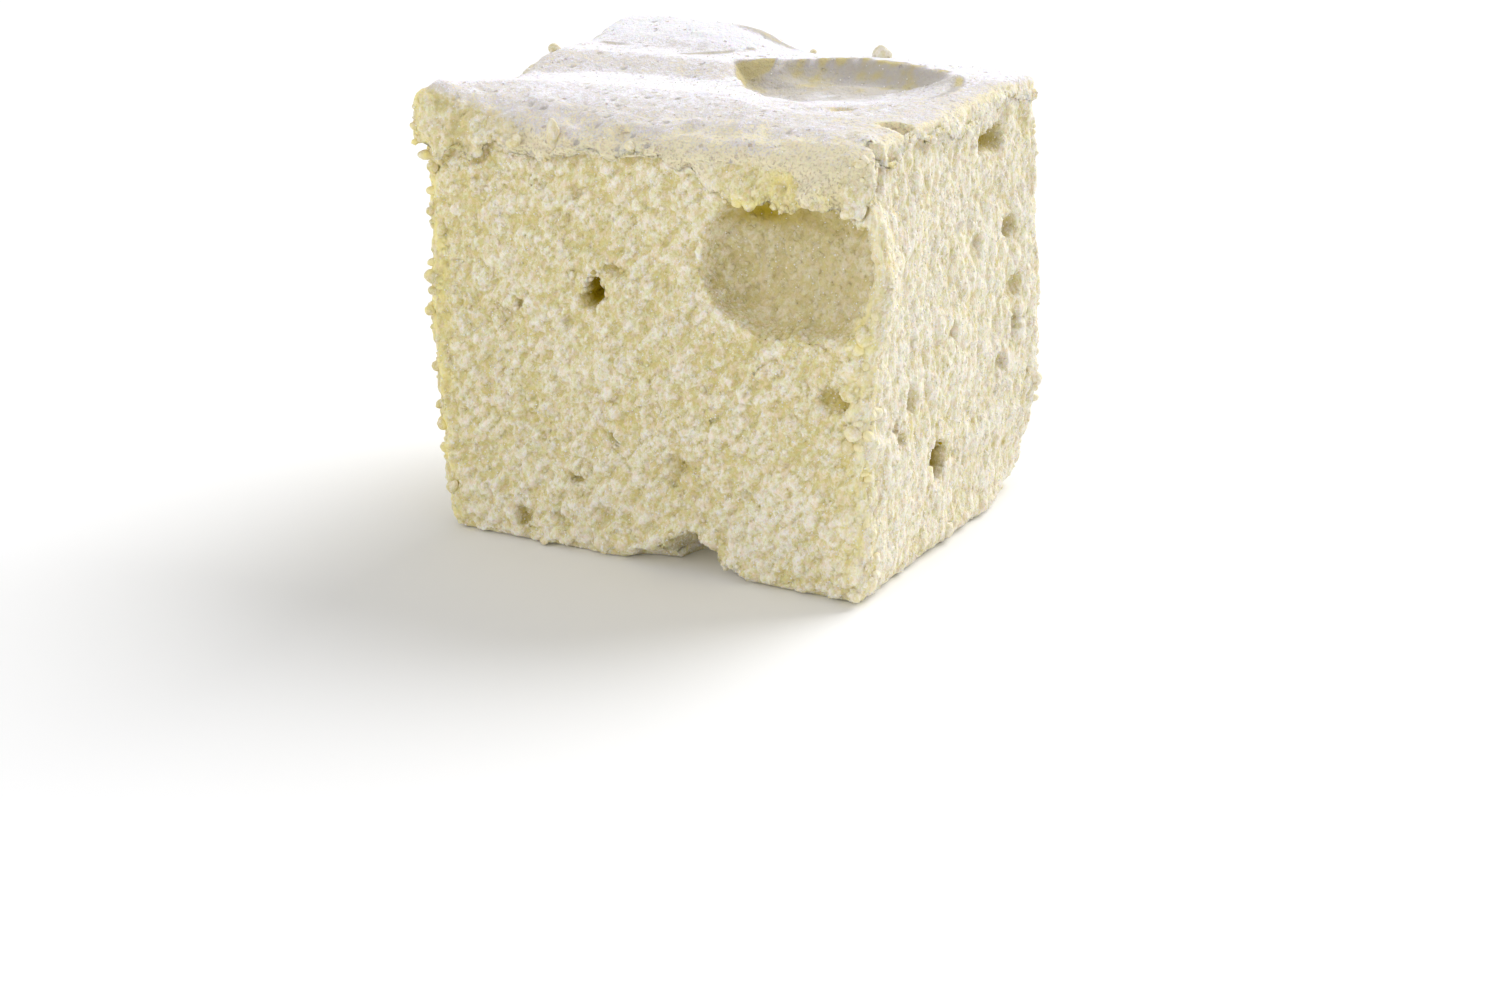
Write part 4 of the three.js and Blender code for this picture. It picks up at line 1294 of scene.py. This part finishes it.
class MARSHMALLOW_OT_sugar(bpy.types.Operator):
    """Dusts the block with grains of sugar and starch"""

    bl_idname = "marshmallow.sugar"
    bl_label = "Sugar dusting"

    def execute(self, context):
        dust, foam = context.scene.marshmallow_dust, MADE["foam"]
        rng = np.random.default_rng(23)
        weights = (0.15 + foam["dust"]) * (1 - 0.75 * foam["skin"]) * (1 - 0.5 * foam["pore_shade"]) * foam["base"]
        weights = np.maximum(weights, 0) * ramp(-0.6, 0.5, fractal_noise(foam["points"], 1.5, 91))
        places, ways, _ = strewn(foam, dust.sugar, weights, rng)
        radii = lerp(dust.sugar_size[0], dust.sugar_size[1], rng.random(dust.sugar) ** 2)
        points, faces, tones = grains(CUBE, places, ways, radii, rng, uneven=0.15, sink=-0.1)
        finish = grain_finish("sugar_grains", (0.88, 0.85, 0.80), (0.96, 0.94, 0.94), 0.55)
        made = mesh_object("sugar_grains", points, (faces,), finish, {"tone": tones}, smooth=False)
        return {"FINISHED"}


class MARSHMALLOW_OT_stage(bpy.types.Operator):
    """Makes the pale floor, the even sky, the soft key light and the camera"""

    bl_idname = "marshmallow.stage"
    bl_label = "Stage"

    def execute(self, context):
        scene, settings = context.scene, context.scene.marshmallow_stage
        scene.view_settings.view_transform = "Standard"
        half = settings.floor_size / 2
        mesh = bpy.data.meshes.new("floor")
        corners = [(-half, -half, 0), (half, -half, 0), (half, half, 0), (-half, half, 0)]
        mesh.from_pydata(corners, [], [(0, 1, 2, 3)])
        paper = Finish("pale_floor", 0.8)
        tint = paper.noise(paper.place(), 90.0, 2.0)
        paper.colour(paper.mixed((0.93, 0.93, 0.94), (0.95, 0.95, 0.95), tint))
        mesh.materials.append(paper.material)
        floor = bpy.data.objects.new("floor", mesh)
        scene.collection.objects.link(floor)

        world = bpy.data.worlds.new("even_sky")
        world.use_nodes = True
        background = world.node_tree.nodes["Background"]
        background.inputs["Color"].default_value = (1, 1, 1, 1)
        background.inputs["Strength"].default_value = settings.sky
        scene.world = world

        for name, strength, spread, way in (
            ("key", settings.sun, settings.sun_spread, settings.sun_from),
            ("fill", settings.fill, settings.fill_spread, settings.fill_from),
        ):
            light = bpy.data.lights.new(name, "SUN")
            light.energy, light.angle = strength, spread
            lamp = bpy.data.objects.new(name, light)
            lamp.rotation_mode = "QUATERNION"
            lamp.rotation_quaternion = (-Vector(way)).to_track_quat("-Z", "Y")
            scene.collection.objects.link(lamp)

        lens = bpy.data.cameras.new("camera")
        lens.lens, lens.sensor_width, lens.clip_start, lens.clip_end = settings.lens, 36.0, 0.01, 100.0
        camera = bpy.data.objects.new("camera", lens)
        bearing, fall = settings.azimuth, settings.elevation
        ahead = Vector(
            (-math.sin(bearing) * math.cos(fall), math.cos(bearing) * math.cos(fall), -math.sin(fall))
        )
        level = Vector((math.cos(bearing), math.sin(bearing), 0))
        turned = Matrix.Rotation(-settings.roll, 3, ahead)
        right = turned @ level
        up = right.cross(ahead)
        camera.matrix_world = Matrix(
            [(*row, place) for row, place in zip(zip(right, up, -ahead), settings.distance)] + [(0, 0, 0, 1)]
        )
        scene.collection.objects.link(camera)
        scene.camera = camera
        return {"FINISHED"}


class MARSHMALLOW_PT_panel(bpy.types.Panel):
    """Lists the pieces and what can be changed"""

    bl_idname = "MARSHMALLOW_PT_panel"
    bl_label = "Marshmallow"
    bl_space_type = "VIEW_3D"
    bl_region_type = "UI"
    bl_category = "Marshmallow"

    def draw(self, context):
        for group in ("marshmallow_foam", "marshmallow_dust", "marshmallow_stage"):
            settings = getattr(context.scene, group)
            column = self.layout.column()
            for name in settings.__annotations__:
                column.prop(settings, name)
        for step in STEPS:
            self.layout.operator(f"marshmallow.{step}")


STEPS = ("foam", "crumbs", "nubs", "sugar", "stage")
GROUPS = {
    "marshmallow_foam": FoamSettings,
    "marshmallow_dust": DustSettings,
    "marshmallow_stage": StageSettings,
}
CLASSES = (
    *GROUPS.values(),
    MARSHMALLOW_OT_foam,
    MARSHMALLOW_OT_crumbs,
    MARSHMALLOW_OT_nubs,
    MARSHMALLOW_OT_sugar,
    MARSHMALLOW_OT_stage,
    MARSHMALLOW_PT_panel,
)


def register():
    """Registers the classes and hangs the settings on the scene."""
    for item in CLASSES:
        bpy.utils.register_class(item)
    for name, group in GROUPS.items():
        setattr(bpy.types.Scene, name, PointerProperty(type=group))


def unregister():
    """Takes the settings and the classes away again."""
    for name in GROUPS:
        delattr(bpy.types.Scene, name)
    for item in reversed(CLASSES):
        bpy.utils.unregister_class(item)


def main():
    """Makes every piece in order."""
    register()
    for step in STEPS:
        getattr(bpy.ops.marshmallow, step)()


if __name__ == "__main__":
    main()
